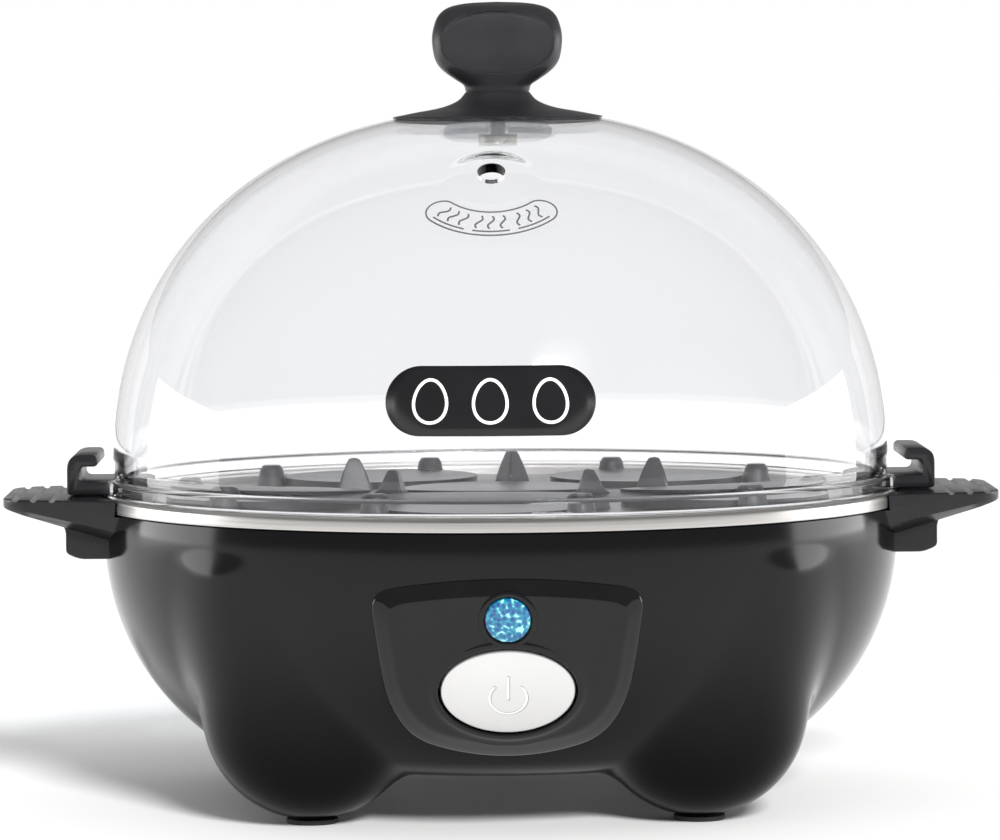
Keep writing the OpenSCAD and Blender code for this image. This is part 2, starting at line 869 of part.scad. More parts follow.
module indicator_lamp() {
    color("#f2f2e6")
        at_lens()
            translate([0, 0, -lens_shank - 0.4 - lamp_len]) {
                cylinder(h = lamp_len - lamp_r, r = lamp_r);
                translate([0, 0, lamp_len - lamp_r]) sphere(lamp_r);
            }
}

module lamp_holder() {
    base_s = -lens_shank - lamp_len - 0.5;
    color("#e9e4d6")
        at_lens() {
            translate([0, 0, base_s - holder_base_t]) cylinder(h = holder_base_t, r = holder_r);
            translate([0, 0, base_s - holder_base_t]) ring(lamp_r + 0.2, holder_r, 0, holder_len);
            for (x = [-holder_pin_place, holder_pin_place])
                translate([x, 0, base_s - holder_base_t - holder_pin_len])
                    cylinder(h = holder_pin_len + seat_gap, r = holder_pin_r);
        }
}

module power_button() {
    color("#b4b6b8") {
        intersection() {
            button_oval(0, 0, button_flange_s - button_flange_t, high);
            panel_round(button_rise);
        }
        button_oval(button_flange_w, 0, button_flange_s - button_flange_t, button_flange_s);
    }
}

module button_plunger() {
    top_s = button_flange_s - button_flange_t - fit;
    color("#e8e8e8")
        at_button() {
            translate([0, 0, switch_front_s - plunger_in])
                cylinder(h = top_s - switch_front_s + plunger_in, r = plunger_r);
            translate([0, 0, top_s - plunger_head_t]) cylinder(h = plunger_head_t, r = plunger_head_r);
        }
}

module power_switch() {
    color("#23272b")
        at_button()
            difference() {
                union() {
                    translate([-switch_w / 2, -switch_h / 2, switch_front_s - switch_d])
                        cube([switch_w, switch_h, switch_d]);
                    for (x = [-blade_place, blade_place])
                        translate([x - blade_t / 2, -blade_w / 2, switch_front_s - switch_d - 3])
                            cube([blade_t, blade_w, 3 + cut]);
                }
                translate([0, 0, switch_front_s - button_travel - plunger_in - cut])
                    cylinder(h = button_travel + plunger_in + 2 * cut, r = plunger_r + move_gap);
            }
}

module switch_bracket() {
    half = post_x + post_r;
    color("#c8c8c8")
        at_button()
            translate([0, 0, switch_front_s])
                difference() {
                    translate([-half, -switch_h / 2, fit]) cube([2 * half, switch_h, bracket_t - fit]);
                    translate([0, 0, -cut]) cylinder(h = bracket_t + 2 * cut, r = plunger_head_r + move_gap);
                    for (x = [-post_x, post_x])
                        translate([x, 0, -cut]) cylinder(h = bracket_t + 2 * cut, r = screw_hole_r);
                }
}

module switch_screws() {
    color("silver")
        for (x = [-post_x, post_x])
            at_button() translate([x, 0, switch_front_s]) screw(bracket_t + post_bore - 0.4, screw_r, head_r);
}

module cord_gland() {
    color("#1a1a1a")
        at_gland()
            difference() {
                union() {
                    translate([0, 0, gland_in_y - 2])
                        cylinder(h = gland_boss_y - gland_in_y + 2 + cut / 2, r = gland_body_r);
                    translate([0, 0, gland_boss_y + fit]) cylinder(h = gland_flange_t, r = gland_flange_r);
                }
                cylinder(h = far, r = cord_bore_r);
            }
}

module gland_nut() {
    color("#d9d4c8")
        at_gland()
            translate([0, 0, gland_in_y])
                difference() {
                    cylinder(h = nut_t, r = nut_r, $fn = 6);
                    translate([0, 0, -cut]) cylinder(h = nut_t + 2 * cut, r = gland_body_r + fit);
                }
}

module terminal_block() {
    color("#efeadf")
        translate([0, block_y, floor_z + shell_wall + fit])
            difference() {
                translate([-block_w / 2, 0, 0]) cube([block_w, block_d, block_h]);
                for (i = [0 : block_ways - 1])
                    translate([block_step * (i - (block_ways - 1) / 2), 0, block_h / 2]) {
                        translate([0, -cut, 0]) rotate([-90, 0, 0])
                            cylinder(h = block_d + 2 * cut, r = block_wire_r);
                        translate([0, block_d / 2, 0]) cylinder(h = block_h, r = block_screw_r);
                    }
            }
}

// Round lead through a list of points
module lead(points) {
    for (i = [0 : len(points) - 2])
        hull() {
            translate(points[i]) sphere(lead_r, $fn = 10);
            translate(points[i + 1]) sphere(lead_r, $fn = 10);
        }
}

module inner_leads() {
    color("#c24a35") {
        lead([[-8, 34.5, 16], [-14, 24, 15], [-18, -10, 15], [-16, -38, 22], [-9, -45, 28]]);
        lead([[8, 34.5, 16], [10, 28, 16], [9, 23, 22], [9, 21, 32]]);
        lead([[-12.5, -27, 20], [-12, -16, 17], [-6, -8, 17], [-3, -5, 19]]);
    }
}

// Egg seats' places: the middle one, then the ring
function seat_places() = concat(
    [[0, 0]],
    [for (i = [0 : egg_count - 1])
        let (a = -90 + seat_turn + 360 / egg_count * i)
        [seat_ring_r * cos(a), seat_ring_r * sin(a)]]
);

// Tray handle toward +X: a riser at the tray's edge, and a hooked profile past the rim
module tray_tab() {
    intersection() {
        translate([tray_r - riser_t, -tab_w / 2, tray_low_z]) cube([riser_t, tab_w, arm_top_z - tray_low_z]);
        cylinder(h = far, r = tray_r);
    }
    rotate([90, 0, 0])
        translate([0, 0, -tab_w / 2])
            linear_extrude(tab_w) {
                translate([tray_r - riser_t, arm_low_z]) square([tab_out_x - tray_r + riser_t, arm_t]);
                translate([tab_out_x - tab_wall, arm_low_z])
                    square([tab_wall, tab_top_z - arm_low_z - tab_round]);
                translate([tab_in_x, tab_top_z - tab_wall])
                    square([tab_out_x - tab_in_x - tab_round, tab_wall]);
                translate([tab_out_x - tab_round, tab_top_z - tab_round]) circle(tab_round, $fn = 32);
            }
}

module egg_tray() {
    color("#1b1b1b")
        difference() {
            union() {
                translate([0, 0, tray_low_z]) cylinder(h = tray_t, r = tray_r);
                intersection() {
                    for (p = seat_places())
                        translate([p[0], p[1], tray_low_z - seat_lip_h])
                            cylinder(h = seat_lip_h + cut, r = egg_hole_r + seat_lip);
                    translate([0, 0, tray_low_z - seat_lip_h])
                        cylinder(h = seat_lip_h + cut, r = pan_r - move_gap - seat_gap);
                }
                for (i = [0 : egg_count - 1], side = [-1, 1])
                    rotate([0, 0, -90 + seat_turn + 360 / egg_count * i + side * stud_turn])
                        translate([stud_place, 0, tray_top_z - cut / 2])
                            cylinder(h = stud_h + cut / 2, r1 = stud_low_r, r2 = stud_top_r);
                for (i = [0 : egg_count - 1])
                    rotate([0, 0, -90 + seat_turn + 360 / egg_count * (i + 0.5)])
                        translate([fin_place, 0, tray_top_z - cut / 2])
                            cylinder(h = fin_h + cut / 2, r1 = fin_low_r, r2 = fin_top_r);
                intersection() {
                    union() {
                        tray_tab();
                        rotate([0, 0, 180]) tray_tab();
                    }
                    translate([0, 0, tray_low_z]) cylinder(h = far, r = tab_out_x + high);
                }
            }
            for (p = seat_places()) {
                translate([p[0], p[1], 0]) cylinder(h = rim_z, r = egg_hole_r);
                translate([p[0], p[1], tray_top_z - seat_flare_h])
                    cylinder(h = 2, r1 = egg_hole_r, r2 = egg_hole_r + seat_flare);
            }
        }
}

// Half section under the dome's curve, in by the given wall
module lid_section(inset, low) {
    polygon(concat([[0, low], [lid_r - inset, low]], lid_curve(inset)));
}

module lid_dome() {
    color([0.85, 0.88, 0.9, 0.35])
        difference() {
            rotate_extrude()
                difference() {
                    union() {
                        lid_section(0, lid_foot_z);
                        translate([0, lid_foot_z]) square([lid_flange_r, lid_flange_t]);
                    }
                    lid_section(lid_wall, lid_foot_z - cut);
                }
            for (side = [-1, 1])
                translate([side * (lid_r - 5) - lid_notch_d / 2, -lid_notch_w, lid_foot_z - cut])
                    cube([lid_notch_d, 2 * lid_notch_w, lid_notch_z - lid_foot_z + cut]);
            rotate([0, 0, vent_turn])
                translate([0, -vent_r, vent_z])
                    rotate([90 - vent_tilt, 0, 0]) {
                        translate([0, 0, vent_ball_r - vent_depth]) sphere(vent_ball_r);
                        translate([0, vent_hole_up, -high]) cylinder(h = deep, r = vent_hole_r);
                    }
            translate([0, 0, lid_top_z - high]) cylinder(h = deep, r = knob_hole_r);
        }
}

// Half outline of the knob's head, from its neck to its crown
module knob_head_outline() {
    hull() {
        translate([0, knob_neck_z]) square([knob_neck_r, 0.1]);
        translate([knob_w - knob_edge_r, knob_top_z - 7]) circle(knob_edge_r, $fn = 48);
        translate([knob_w - knob_edge_r - 1.6, knob_top_z - knob_crown_r]) circle(knob_crown_r, $fn = 48);
        translate([0, knob_top_z - 1]) square([1, 1]);
    }
}

module lid_knob() {
    color("#1a1a1a")
        difference() {
            union() {
                intersection() {
                    rotate_extrude() knob_head_outline();
                    translate([-far / 2, -knob_d, 0]) cube([far, 2 * knob_d, far]);
                }
                difference() {
                    rotate_extrude()
                        polygon([
                            [0, knob_foot_z - 0.5],
                            [knob_skirt_r, knob_foot_z - 0.5],
                            [knob_skirt_r, knob_foot_z + 0.7],
                            [knob_skirt_r - 4.3, knob_foot_z + 1.7],
                            [knob_neck_r + 2.4, knob_foot_z + 2.9],
                            [knob_neck_r + 0.5, knob_foot_z + 4],
                            [knob_neck_r, knob_neck_z],
                            [0, knob_neck_z]
                        ]);
                    rotate_extrude() lid_section(-seat_gap, lid_mid_z);
                }
                translate([0, 0, washer_top_z + seat_gap])
                    cylinder(h = knob_neck_z - washer_top_z - seat_gap, r = knob_boss_r);
            }
            for (side = [-1, 1])
                hull()
                    for (x = [-dimple_span, dimple_span])
                        translate([x, side * (knob_d + dimple_ball_r - dimple_depth), knob_top_z - 6.4])
                            sphere(dimple_ball_r, $fn = 32);
            cylinder(h = washer_top_z + lid_screw_in + fit, r = pilot_r);
        }
}

module lid_washer() {
    color("#202020")
        translate([0, 0, washer_top_z - washer_t])
            difference() {
                cylinder(h = washer_t, r = washer_r);
                translate([0, 0, -cut]) cylinder(h = washer_t + 2 * cut, r = screw_hole_r);
            }
}

module lid_screw() {
    color("silver")
        translate([0, 0, washer_top_z - washer_t - fit]) screw(washer_t + lid_screw_in, screw_r, head_r + 1);
}

base_shell();
base_cover();
cover_screws();
foot_pad(lobe_angles[0]);  // foot_pad_front_right
foot_pad(lobe_angles[1]);  // foot_pad_rear_right
foot_pad(lobe_angles[2]);  // foot_pad_rear_left
foot_pad(lobe_angles[3]);  // foot_pad_front_left
handle_left();
handle_right();
handle_screws();
heater_plate();
plate_gasket();
heat_spreader();
heating_element();
element_terminals();
plate_standoffs();
plate_screws();
thermostat();
thermostat_bracket();
thermostat_screws();
thermal_fuse();
fuse_clip();
control_panel();
panel_screws();
indicator_lens();
indicator_lamp();
lamp_holder();
power_button();
button_plunger();
power_switch();
switch_bracket();
switch_screws();
cord_gland();
gland_nut();
terminal_block();
inner_leads();
egg_tray();
lid_dome();
lid_knob();
lid_washer();
lid_screw();
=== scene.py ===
"""Looks of a round egg cooker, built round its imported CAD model."""

import json
import math

import bpy
import numpy as np
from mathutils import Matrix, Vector


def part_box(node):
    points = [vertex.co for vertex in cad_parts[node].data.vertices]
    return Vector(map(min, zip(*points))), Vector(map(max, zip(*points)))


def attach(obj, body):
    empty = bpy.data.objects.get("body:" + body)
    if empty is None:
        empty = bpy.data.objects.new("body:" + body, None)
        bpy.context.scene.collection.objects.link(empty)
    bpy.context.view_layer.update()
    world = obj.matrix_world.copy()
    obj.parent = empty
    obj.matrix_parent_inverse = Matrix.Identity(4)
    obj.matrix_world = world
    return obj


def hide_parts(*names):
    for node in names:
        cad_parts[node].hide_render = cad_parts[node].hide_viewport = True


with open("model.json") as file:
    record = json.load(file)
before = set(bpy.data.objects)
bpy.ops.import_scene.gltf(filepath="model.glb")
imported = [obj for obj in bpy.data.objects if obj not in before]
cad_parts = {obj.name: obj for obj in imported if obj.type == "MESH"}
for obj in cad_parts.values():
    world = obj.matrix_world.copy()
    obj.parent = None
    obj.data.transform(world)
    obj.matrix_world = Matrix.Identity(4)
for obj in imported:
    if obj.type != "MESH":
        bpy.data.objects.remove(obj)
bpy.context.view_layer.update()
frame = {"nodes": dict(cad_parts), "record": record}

# Lengths below are millimetres; MM turns them into the scene's metres.
MM = 0.001


def node_box(node):
    """Lowest and highest corners of a CAD node, in millimetres."""
    low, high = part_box(node)
    return np.array(low) / MM, np.array(high) / MM


# ---------------------------------------------------------------- sizes from the frame

SHELL_HIGH = node_box("base_shell")[1]
PLATE_HIGH = node_box("heater_plate")[1]
DOME_LOW, DOME_HIGH = node_box("lid_dome")
KNOB_HIGH = node_box("lid_knob")[1]
TRAY_LOW, TRAY_HIGH = node_box("egg_tray")
PANEL_LOW, PANEL_HIGH = node_box("control_panel")
GLAND_LOW, GLAND_HIGH = node_box("cord_gland")
COVER_LOW, COVER_HIGH = node_box("base_cover")
WING_HIGH = node_box("handle_right")[1]
SCREW_LOW, SCREW_HIGH = node_box("handle_screws")
SCREW_Y = 12.0
PAD_LOW, PAD_HIGH = node_box("foot_pad_front_right")

RIM_R = PLATE_HIGH[0]
RIM_Z = PLATE_HIGH[2]
BODY_R = RIM_R - 0.3
WIDEST_Z = RIM_Z - 7.8
ARC_R = 46.0
ARC_X = BODY_R - ARC_R
FLOOR_Z = COVER_LOW[2]
WALL = 2.5
LIP_OUT_R = RIM_R - 1.0
LIP_IN_R = LIP_OUT_R - 1.9
SHELL_TOP_Z = RIM_Z - 2.9
LIP_TOP_Z = SHELL_HIGH[2]

LOBE_R = 19.7
LOBE_PLACE = math.hypot(*((PAD_LOW + PAD_HIGH) / 2)[:2])
LOBE_Z = 20.4
FOOT_Z = 0.75

PANEL_ARC_R = ARC_R + 4
PANEL_ARC_X = BODY_R + 1.8 - PANEL_ARC_R
PANEL_TOP = PANEL_HIGH[2]
PANEL_BOTTOM = PANEL_LOW[2]
BUTTON_Z = PANEL_BOTTOM + 12
LENS_Z = PANEL_TOP - 7
BUTTON_W, BUTTON_H = 23.6, 17.2
LENS_R = 4.0

LID_R = BODY_R - 1.6
LID_FOOT_Z = DOME_LOW[2]
LID_MID_Z = RIM_Z + 3.2
LID_RISE = DOME_HIGH[2] + 0.05 - LID_MID_Z
LID_POWER = 2.2
LID_WALL = 2.0
LID_FLANGE_R = RIM_R - 0.2
VENT_R = LID_R * 0.616

LEDGE_Z = RIM_Z - 4.4
TRAY_R = TRAY_HIGH[1]
TRAY_BASE_Z = LEDGE_Z + 0.3
TRAY_TOP_Z = TRAY_BASE_Z + 2.2
SEAT_R = 16.5
SEATS = [(0.0, 0.0)] + [
    (TRAY_R * 0.632 * math.cos(a), TRAY_R * 0.632 * math.sin(a))
    for a in (math.radians(-95 + 72 * i) for i in range(5))
]


# ---------------------------------------------------------------- mesh helpers


def new_object(name, verts, faces, material, smooth=True):
    """Mesh object from points in millimetres."""
    mesh = bpy.data.meshes.new(name)
    mesh.from_pydata((np.asarray(verts, dtype=float) * MM).tolist(), [], faces)
    mesh.validate()
    mesh.update()
    obj = bpy.data.objects.new(name, mesh)
    bpy.context.scene.collection.objects.link(obj)
    if smooth:
        mesh.shade_smooth()
    if material is not None:
        mesh.materials.append(material)
    return obj


def sharpen(obj, degrees=35):
    """Smooth shading with edges over the angle kept sharp."""
    obj.data.set_sharp_from_angle(angle=math.radians(degrees))
    return obj


def grid_faces(rows, cols, wrap_rows=False, wrap_cols=True, start=0):
    """Quads of a rows x cols grid of points, closed either way as asked."""
    faces = []
    for i in range(rows if wrap_rows else rows - 1):
        for j in range(cols if wrap_cols else cols - 1):
            a, b = i * cols, ((i + 1) % rows) * cols
            k = (j + 1) % cols
            faces.append((start + a + j, start + a + k, start + b + k, start + b + j))
    return faces


def loft(name, loops, material, cap_first=False, cap_last=False, closed=False, smooth=True):
    """Skin through loops of equally many points."""
    loops = np.asarray(loops, dtype=float)
    rows, cols = loops.shape[:2]
    faces = grid_faces(rows, cols, wrap_rows=closed)
    if cap_first:
        faces.append(tuple(reversed(range(cols))))
    if cap_last:
        faces.append(tuple(range((rows - 1) * cols, rows * cols)))
    obj = new_object(name, loops.reshape(-1, 3), faces, material, smooth)
    return face_outward(obj)


def face_outward(obj):
    """Makes the faces of a closed mesh point out."""
    bpy.ops.object.select_all(action="DESELECT")
    obj.select_set(True)
    bpy.context.view_layer.objects.active = obj
    bpy.ops.object.mode_set(mode="EDIT")
    bpy.ops.mesh.select_all(action="SELECT")
    bpy.ops.mesh.normals_make_consistent(inside=False)
    bpy.ops.object.mode_set(mode="OBJECT")
    return obj


def revolve(name, outline, material, steps=192, centre=(0, 0), closed=True):
    """Skin of a closed outline of (radius, height) turned round an upright axis."""
    outline = np.asarray(outline, dtype=float)
    turn = np.linspace(0, 2 * math.pi, steps, endpoint=False)
    loops = np.empty((len(outline), steps, 3))
    loops[:, :, 0] = outline[:, :1] * np.cos(turn) + centre[0]
    loops[:, :, 1] = outline[:, :1] * np.sin(turn) + centre[1]
    loops[:, :, 2] = outline[:, 1:]
    obj = loft(name, loops, material, closed=closed)
    weld(obj)
    return obj


def weld(obj, gap=0.0005):
    """Merges points that meet, such as an outline's points on the axis."""
    bpy.ops.object.select_all(action="DESELECT")
    obj.select_set(True)
    bpy.context.view_layer.objects.active = obj
    bpy.ops.object.mode_set(mode="EDIT")
    bpy.ops.mesh.select_all(action="SELECT")
    bpy.ops.mesh.remove_doubles(threshold=gap * MM)
    bpy.ops.mesh.normals_make_consistent(inside=False)
    bpy.ops.object.mode_set(mode="OBJECT")


def rounded(points, radius, steps=5):
    """Closed outline with its corners rounded, by one radius or one each."""
    points = [np.array(p, dtype=float) for p in points]
    radii = radius if hasattr(radius, "__len__") else [radius] * len(points)
    out = []
    for i, corner in enumerate(points):
        before, after = points[i - 1] - corner, points[(i + 1) % len(points)] - corner
        reach = min(radii[i], 0.49 * np.linalg.norm(before), 0.49 * np.linalg.norm(after))
        if reach < 1e-6:
            out.append(corner)
            continue
        start = corner + before / np.linalg.norm(before) * reach
        end = corner + after / np.linalg.norm(after) * reach
        for t in np.linspace(0, 1, steps):
            out.append((1 - t) ** 2 * start + 2 * t * (1 - t) * corner + t * t * end)
    return np.array(out)


def through(points, count):
    """Evenly spread points of a smooth curve through the given ones."""
    p = np.array(points, dtype=float)
    p = np.vstack([2 * p[0] - p[1], p, 2 * p[-1] - p[-2]])
    curve = []
    for i in range(1, len(p) - 2):
        for t in np.linspace(0, 1, 24, endpoint=False):
            a, b, c, d = p[i - 1 : i + 3]
            curve.append(
                0.5 * (2 * b + (c - a) * t + (2 * a - 5 * b + 4 * c - d) * t**2
                       + (3 * b - a - 3 * c + d) * t**3)
            )
    curve.append(p[-2])
    curve = np.array(curve)
    along = np.concatenate([[0], np.cumsum(np.linalg.norm(np.diff(curve, axis=0), axis=1))])
    spots = np.linspace(0, along[-1], count)
    return np.stack([np.interp(spots, along, curve[:, k]) for k in range(curve.shape[1])], axis=1)


def tube(name, path, radius, material, sides=10, squash=1.0, up=None):
    """Closed tube along a path, flattened along up by squash."""
    path = np.asarray(path, dtype=float)
    ahead = np.gradient(path, axis=0)
    ahead /= np.linalg.norm(ahead, axis=1, keepdims=True)
    up = np.asarray(up if up is not None else np.tile([0, 0, 1.0], (len(path), 1)), dtype=float)
    side = np.cross(ahead, up)
    side /= np.linalg.norm(side, axis=1, keepdims=True)
    over = np.cross(side, ahead)
    turn = np.linspace(0, 2 * math.pi, sides, endpoint=False)
    loops = [
        path[i] + radius * (np.outer(np.cos(turn), side[i]) + squash * np.outer(np.sin(turn), over[i]))
        for i in range(len(path))
    ]
    return loft(name, loops, material, cap_first=True, cap_last=True)


def cut(obj, *tools, operation="DIFFERENCE"):
    """Cuts obj with other meshes, which are then removed."""
    for tool in tools:
        mod = obj.modifiers.new("cut", "BOOLEAN")
        mod.operation = operation
        mod.solver = "EXACT"
        mod.object = tool
        bpy.context.view_layer.objects.active = obj
        bpy.ops.object.modifier_apply(modifier=mod.name)
        bpy.data.objects.remove(tool)
    return obj


def bevel(obj, width, segments=3, degrees=30):
    """Rounds the edges over an angle."""
    mod = obj.modifiers.new("bevel", "BEVEL")
    mod.width = width * MM
    mod.segments = segments
    mod.limit_method = "ANGLE"
    mod.angle_limit = math.radians(degrees)
    mod.harden_normals = False
    bpy.context.view_layer.objects.active = obj
    bpy.ops.object.modifier_apply(modifier=mod.name)
    return obj


def join(name, *objects):
    """Joins meshes into the first one."""
    bpy.ops.object.select_all(action="DESELECT")
    for obj in objects:
        obj.select_set(True)
    bpy.context.view_layer.objects.active = objects[0]
    bpy.ops.object.join()
    objects[0].name = name
    return objects[0]


def settle(obj, body, slot, *stands_for):
    """Says what a finished piece moves with, and hides the CAD nodes it shows; slot is not used."""
    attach(obj, body)
    if stands_for:
        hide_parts(*stands_for)
    return obj


def smooth_min(a, b, k):
    """The lower of two fields, blended over about k."""
    h = np.clip(0.5 + 0.5 * (b - a) / k, 0, 1)
    return b * (1 - h) + a * h - k * h * (1 - h)


def smooth_max(a, b, k):
    return -smooth_min(-a, -b, k)


def reach(field, start, ways, low, high):
    """Distance along each way from start at which field crosses from inside to outside."""
    low, high = np.full(len(ways), float(low)), np.full(len(ways), float(high))
    for _ in range(44):
        mid = (low + high) / 2
        inside = field(start + ways * mid[:, None]) < 0
        low, high = np.where(inside, mid, low), np.where(inside, high, mid)
    return (low + high) / 2


# ---------------------------------------------------------------- materials


class Look:
    """A node material: Principled shader with procedural inputs."""

    def __init__(self, name, colour, rough, **sockets):
        self.material = bpy.data.materials.new(name)
        self.material.use_nodes = True
        self.nodes = self.material.node_tree.nodes
        self.links = self.material.node_tree.links
        self.shader = self.nodes["Principled BSDF"]
        self.shader.inputs["Base Color"].default_value = (*colour, 1)
        self.shader.inputs["Roughness"].default_value = rough
        for socket, value in sockets.items():
            self.shader.inputs[socket.replace("_", " ")].default_value = value
        self.place = self.nodes.new("ShaderNodeTexCoord").outputs["Object"]

    def node(self, kind, inputs=None, **settings):
        made = self.nodes.new(kind)
        for key, value in settings.items():
            setattr(made, key, value)
        for key, value in (inputs or {}).items():
            if isinstance(value, bpy.types.NodeSocket):
                self.links.new(value, made.inputs[key])
            else:
                made.inputs[key].default_value = value
        return made

    def noise(self, scale, detail=2.0, stretch=None):
        """Noise over the object; scale is in spots per metre."""
        vector = self.place
        if stretch is not None:
            vector = self.node("ShaderNodeMapping", {"Vector": vector, "Scale": stretch}).outputs[0]
        made = self.node("ShaderNodeTexNoise", {"Vector": vector, "Scale": scale, "Detail": detail})
        return made.outputs["Fac"]

    def around(self, along, across):
        """Coordinates that run round the object's upright axis."""
        split = self.node("ShaderNodeSeparateXYZ", {0: self.place})
        turn = self.node("ShaderNodeMath", {0: split.outputs[1], 1: split.outputs[0]}, operation="ARCTAN2")
        width = self.node(
            "ShaderNodeVectorMath",
            {0: self.node("ShaderNodeCombineXYZ", {0: split.outputs[0], 1: split.outputs[1]}).outputs[0]},
            operation="LENGTH",
        )
        made = self.node("ShaderNodeCombineXYZ", {
            0: self.node("ShaderNodeMath", {0: turn.outputs[0], 1: along}, operation="MULTIPLY").outputs[0],
            1: self.node("ShaderNodeMath", {0: width.outputs["Value"], 1: across},
                operation="MULTIPLY").outputs[0],
            2: self.node("ShaderNodeMath", {0: split.outputs[2], 1: across}, operation="MULTIPLY").outputs[0],
        })
        return made.outputs[0]

    def spread(self, value, low, high):
        """Maps a 0..1 value to low..high."""
        return self.node("ShaderNodeMapRange", {0: value, 3: low, 4: high}).outputs[0]

    def ramp(self, value, *stops):
        made = self.node("ShaderNodeValToRGB", {0: value})
        ramp = made.color_ramp
        while len(ramp.elements) < len(stops):
            ramp.elements.new(0.5)
        for element, (spot, colour) in zip(ramp.elements, stops):
            element.position, element.color = spot, (*colour, 1)
        return made.outputs[0]

    def rough(self, value, low, high):
        self.links.new(self.spread(value, low, high), self.shader.inputs["Roughness"])
        return self

    def colour(self, value):
        self.links.new(value, self.shader.inputs["Base Color"])
        return self

    def bump(self, height, strength, distance):
        """Raises the surface by a height value; distance is in millimetres."""
        made = self.node(
            "ShaderNodeBump", {"Height": height, "Strength": strength, "Distance": distance * MM}
        )
        self.links.new(made.outputs[0], self.shader.inputs["Normal"])
        return self


def moulded(name, colour, rough, grain=0.0, waves=0.0, **sockets):
    """Moulded plastic or rubber: slight blotches in gloss, grain, and mould ripple."""
    look = Look(name, colour, rough, **sockets)
    blotch = look.noise(90, 3)
    look.rough(blotch, rough * 0.8, rough * 1.25)
    darker, lighter = [c * 0.85 for c in colour], [min(1, c * 1.15) for c in colour]
    look.colour(look.ramp(look.noise(140, 2), (0.3, darker), (0.7, lighter)))
    if grain:
        look.bump(look.noise(5200, 3), 0.5, grain)
    elif waves:
        look.bump(look.noise(60, 1), 0.3, waves)
    return look.material


def gloss_bowl():
    """Black gloss of the bowl, less bright low down, where it faces the floor."""
    look = Look("gloss_black", (0.003, 0.003, 0.0033), 0.13, IOR=1.34)
    look.rough(look.noise(90, 3), 0.1, 0.16)
    look.bump(look.noise(60, 1), 0.3, 0.02)
    up = look.node("ShaderNodeSeparateXYZ", {0: look.place})
    gloss = look.node(
        "ShaderNodeMapRange",
        {"Value": up.outputs["Z"], "From Min": 0.002, "From Max": 0.042, "To Min": 0.06, "To Max": 0.52},
        interpolation_type="SMOOTHSTEP",
    )
    look.links.new(gloss.outputs["Result"], look.shader.inputs["Specular IOR Level"])
    return look.material


def metal(name, colour, rough, streak=0.05, round_axis=False, **sockets):
    """Metal with fine streaks, along X or round the upright axis."""
    look = Look(name, colour, rough, Metallic=1.0, **sockets)
    if round_axis:
        lines = look.node("ShaderNodeTexNoise",
            {"Vector": look.around(2.2, 3800), "Scale": 1.0, "Detail": 3.0})
        value = lines.outputs["Fac"]
    else:
        value = look.noise(1400, 3, stretch=(0.06, 1, 1))
    look.rough(value, rough * 0.7, rough * 1.35)
    look.colour(look.ramp(value, (0.25, [c * 0.82 for c in colour]),
        (0.75, [min(1, c * 1.1) for c in colour])))
    look.bump(value, 0.35, streak)
    return look.material


def clear_plastic(name, tint, rough, ior):
    """Clear moulded plastic that lets lamps' light through."""
    look = Look(name, tint, rough, IOR=ior)
    look.shader.inputs["Transmission Weight"].default_value = 1.0
    look.rough(look.noise(70, 2), rough * 0.5, rough * 1.5)
    look.bump(look.noise(45, 1), 0.12, 0.08)
    clear = look.node("ShaderNodeBsdfTransparent", {"Color": (0.94, 0.95, 0.96, 1)})
    mix = look.node("ShaderNodeMixShader", {
        0: look.node("ShaderNodeLightPath").outputs["Is Shadow Ray"],
        1: look.shader.outputs[0],
        2: clear.outputs[0],
    })
    look.links.new(mix.outputs[0], look.nodes["Material Output"].inputs["Surface"])
    return look.material


def satin_paint(name, colour, rough):
    """Fine satin silver paint."""
    look = Look(name, colour, rough, Metallic=0.85)
    flake = look.noise(9000, 2)
    look.rough(flake, rough * 0.85, rough * 1.15)
    look.colour(look.ramp(
        look.noise(60, 2), (0.2, [c * 0.94 for c in colour]), (0.8, [min(1, c * 1.04) for c in colour]),
    ))
    look.bump(flake, 0.25, 0.004)
    return look.material


def prismatic_blue():
    """Lamp lens whose colour paints glints: cells from dark blue through cyan to near-white stand in for
    light caught by small crossed prisms, and the cells also bump the surface.
    """
    look = Look("lens_blue", (0.02, 0.25, 0.6), 0.12, IOR=1.5)
    look.shader.inputs["Coat Weight"].default_value = 1.0
    look.shader.inputs["Coat Roughness"].default_value = 0.04
    cells = look.node("ShaderNodeTexVoronoi", {"Vector": look.place, "Scale": 1150.0, "Randomness": 0.8})
    glint_spots = look.node(
        "ShaderNodeTexVoronoi", {"Vector": look.place, "Scale": 1700.0, "Randomness": 1.0}, feature="F2",
    )
    painted_glints = look.node(
        "ShaderNodeMath", {0: cells.outputs["Distance"], 1: glint_spots.outputs["Distance"]}, operation="MULTIPLY",
    )
    # Painted glints: the cell value is mapped through a ramp from dark blue to near-white spots.
    shade = look.spread(painted_glints.outputs[0], 0.1, 1.6)
    tint = look.ramp(
        shade,
        (0.0, (0.001, 0.01, 0.09)), (0.35, (0.0, 0.045, 0.17)), (0.7, (0.0, 0.13, 0.23)),
        (0.92, (0.01, 0.24, 0.3)),
        (1.0, (0.25, 0.5, 0.52)),
    )
    look.colour(tint)
    # The same painted glint colours also glow faintly.
    look.links.new(tint, look.shader.inputs["Emission Color"])
    look.shader.inputs["Emission Strength"].default_value = 0.08
    look.bump(cells.outputs["Distance"], 0.8, 0.12)
    return look.material


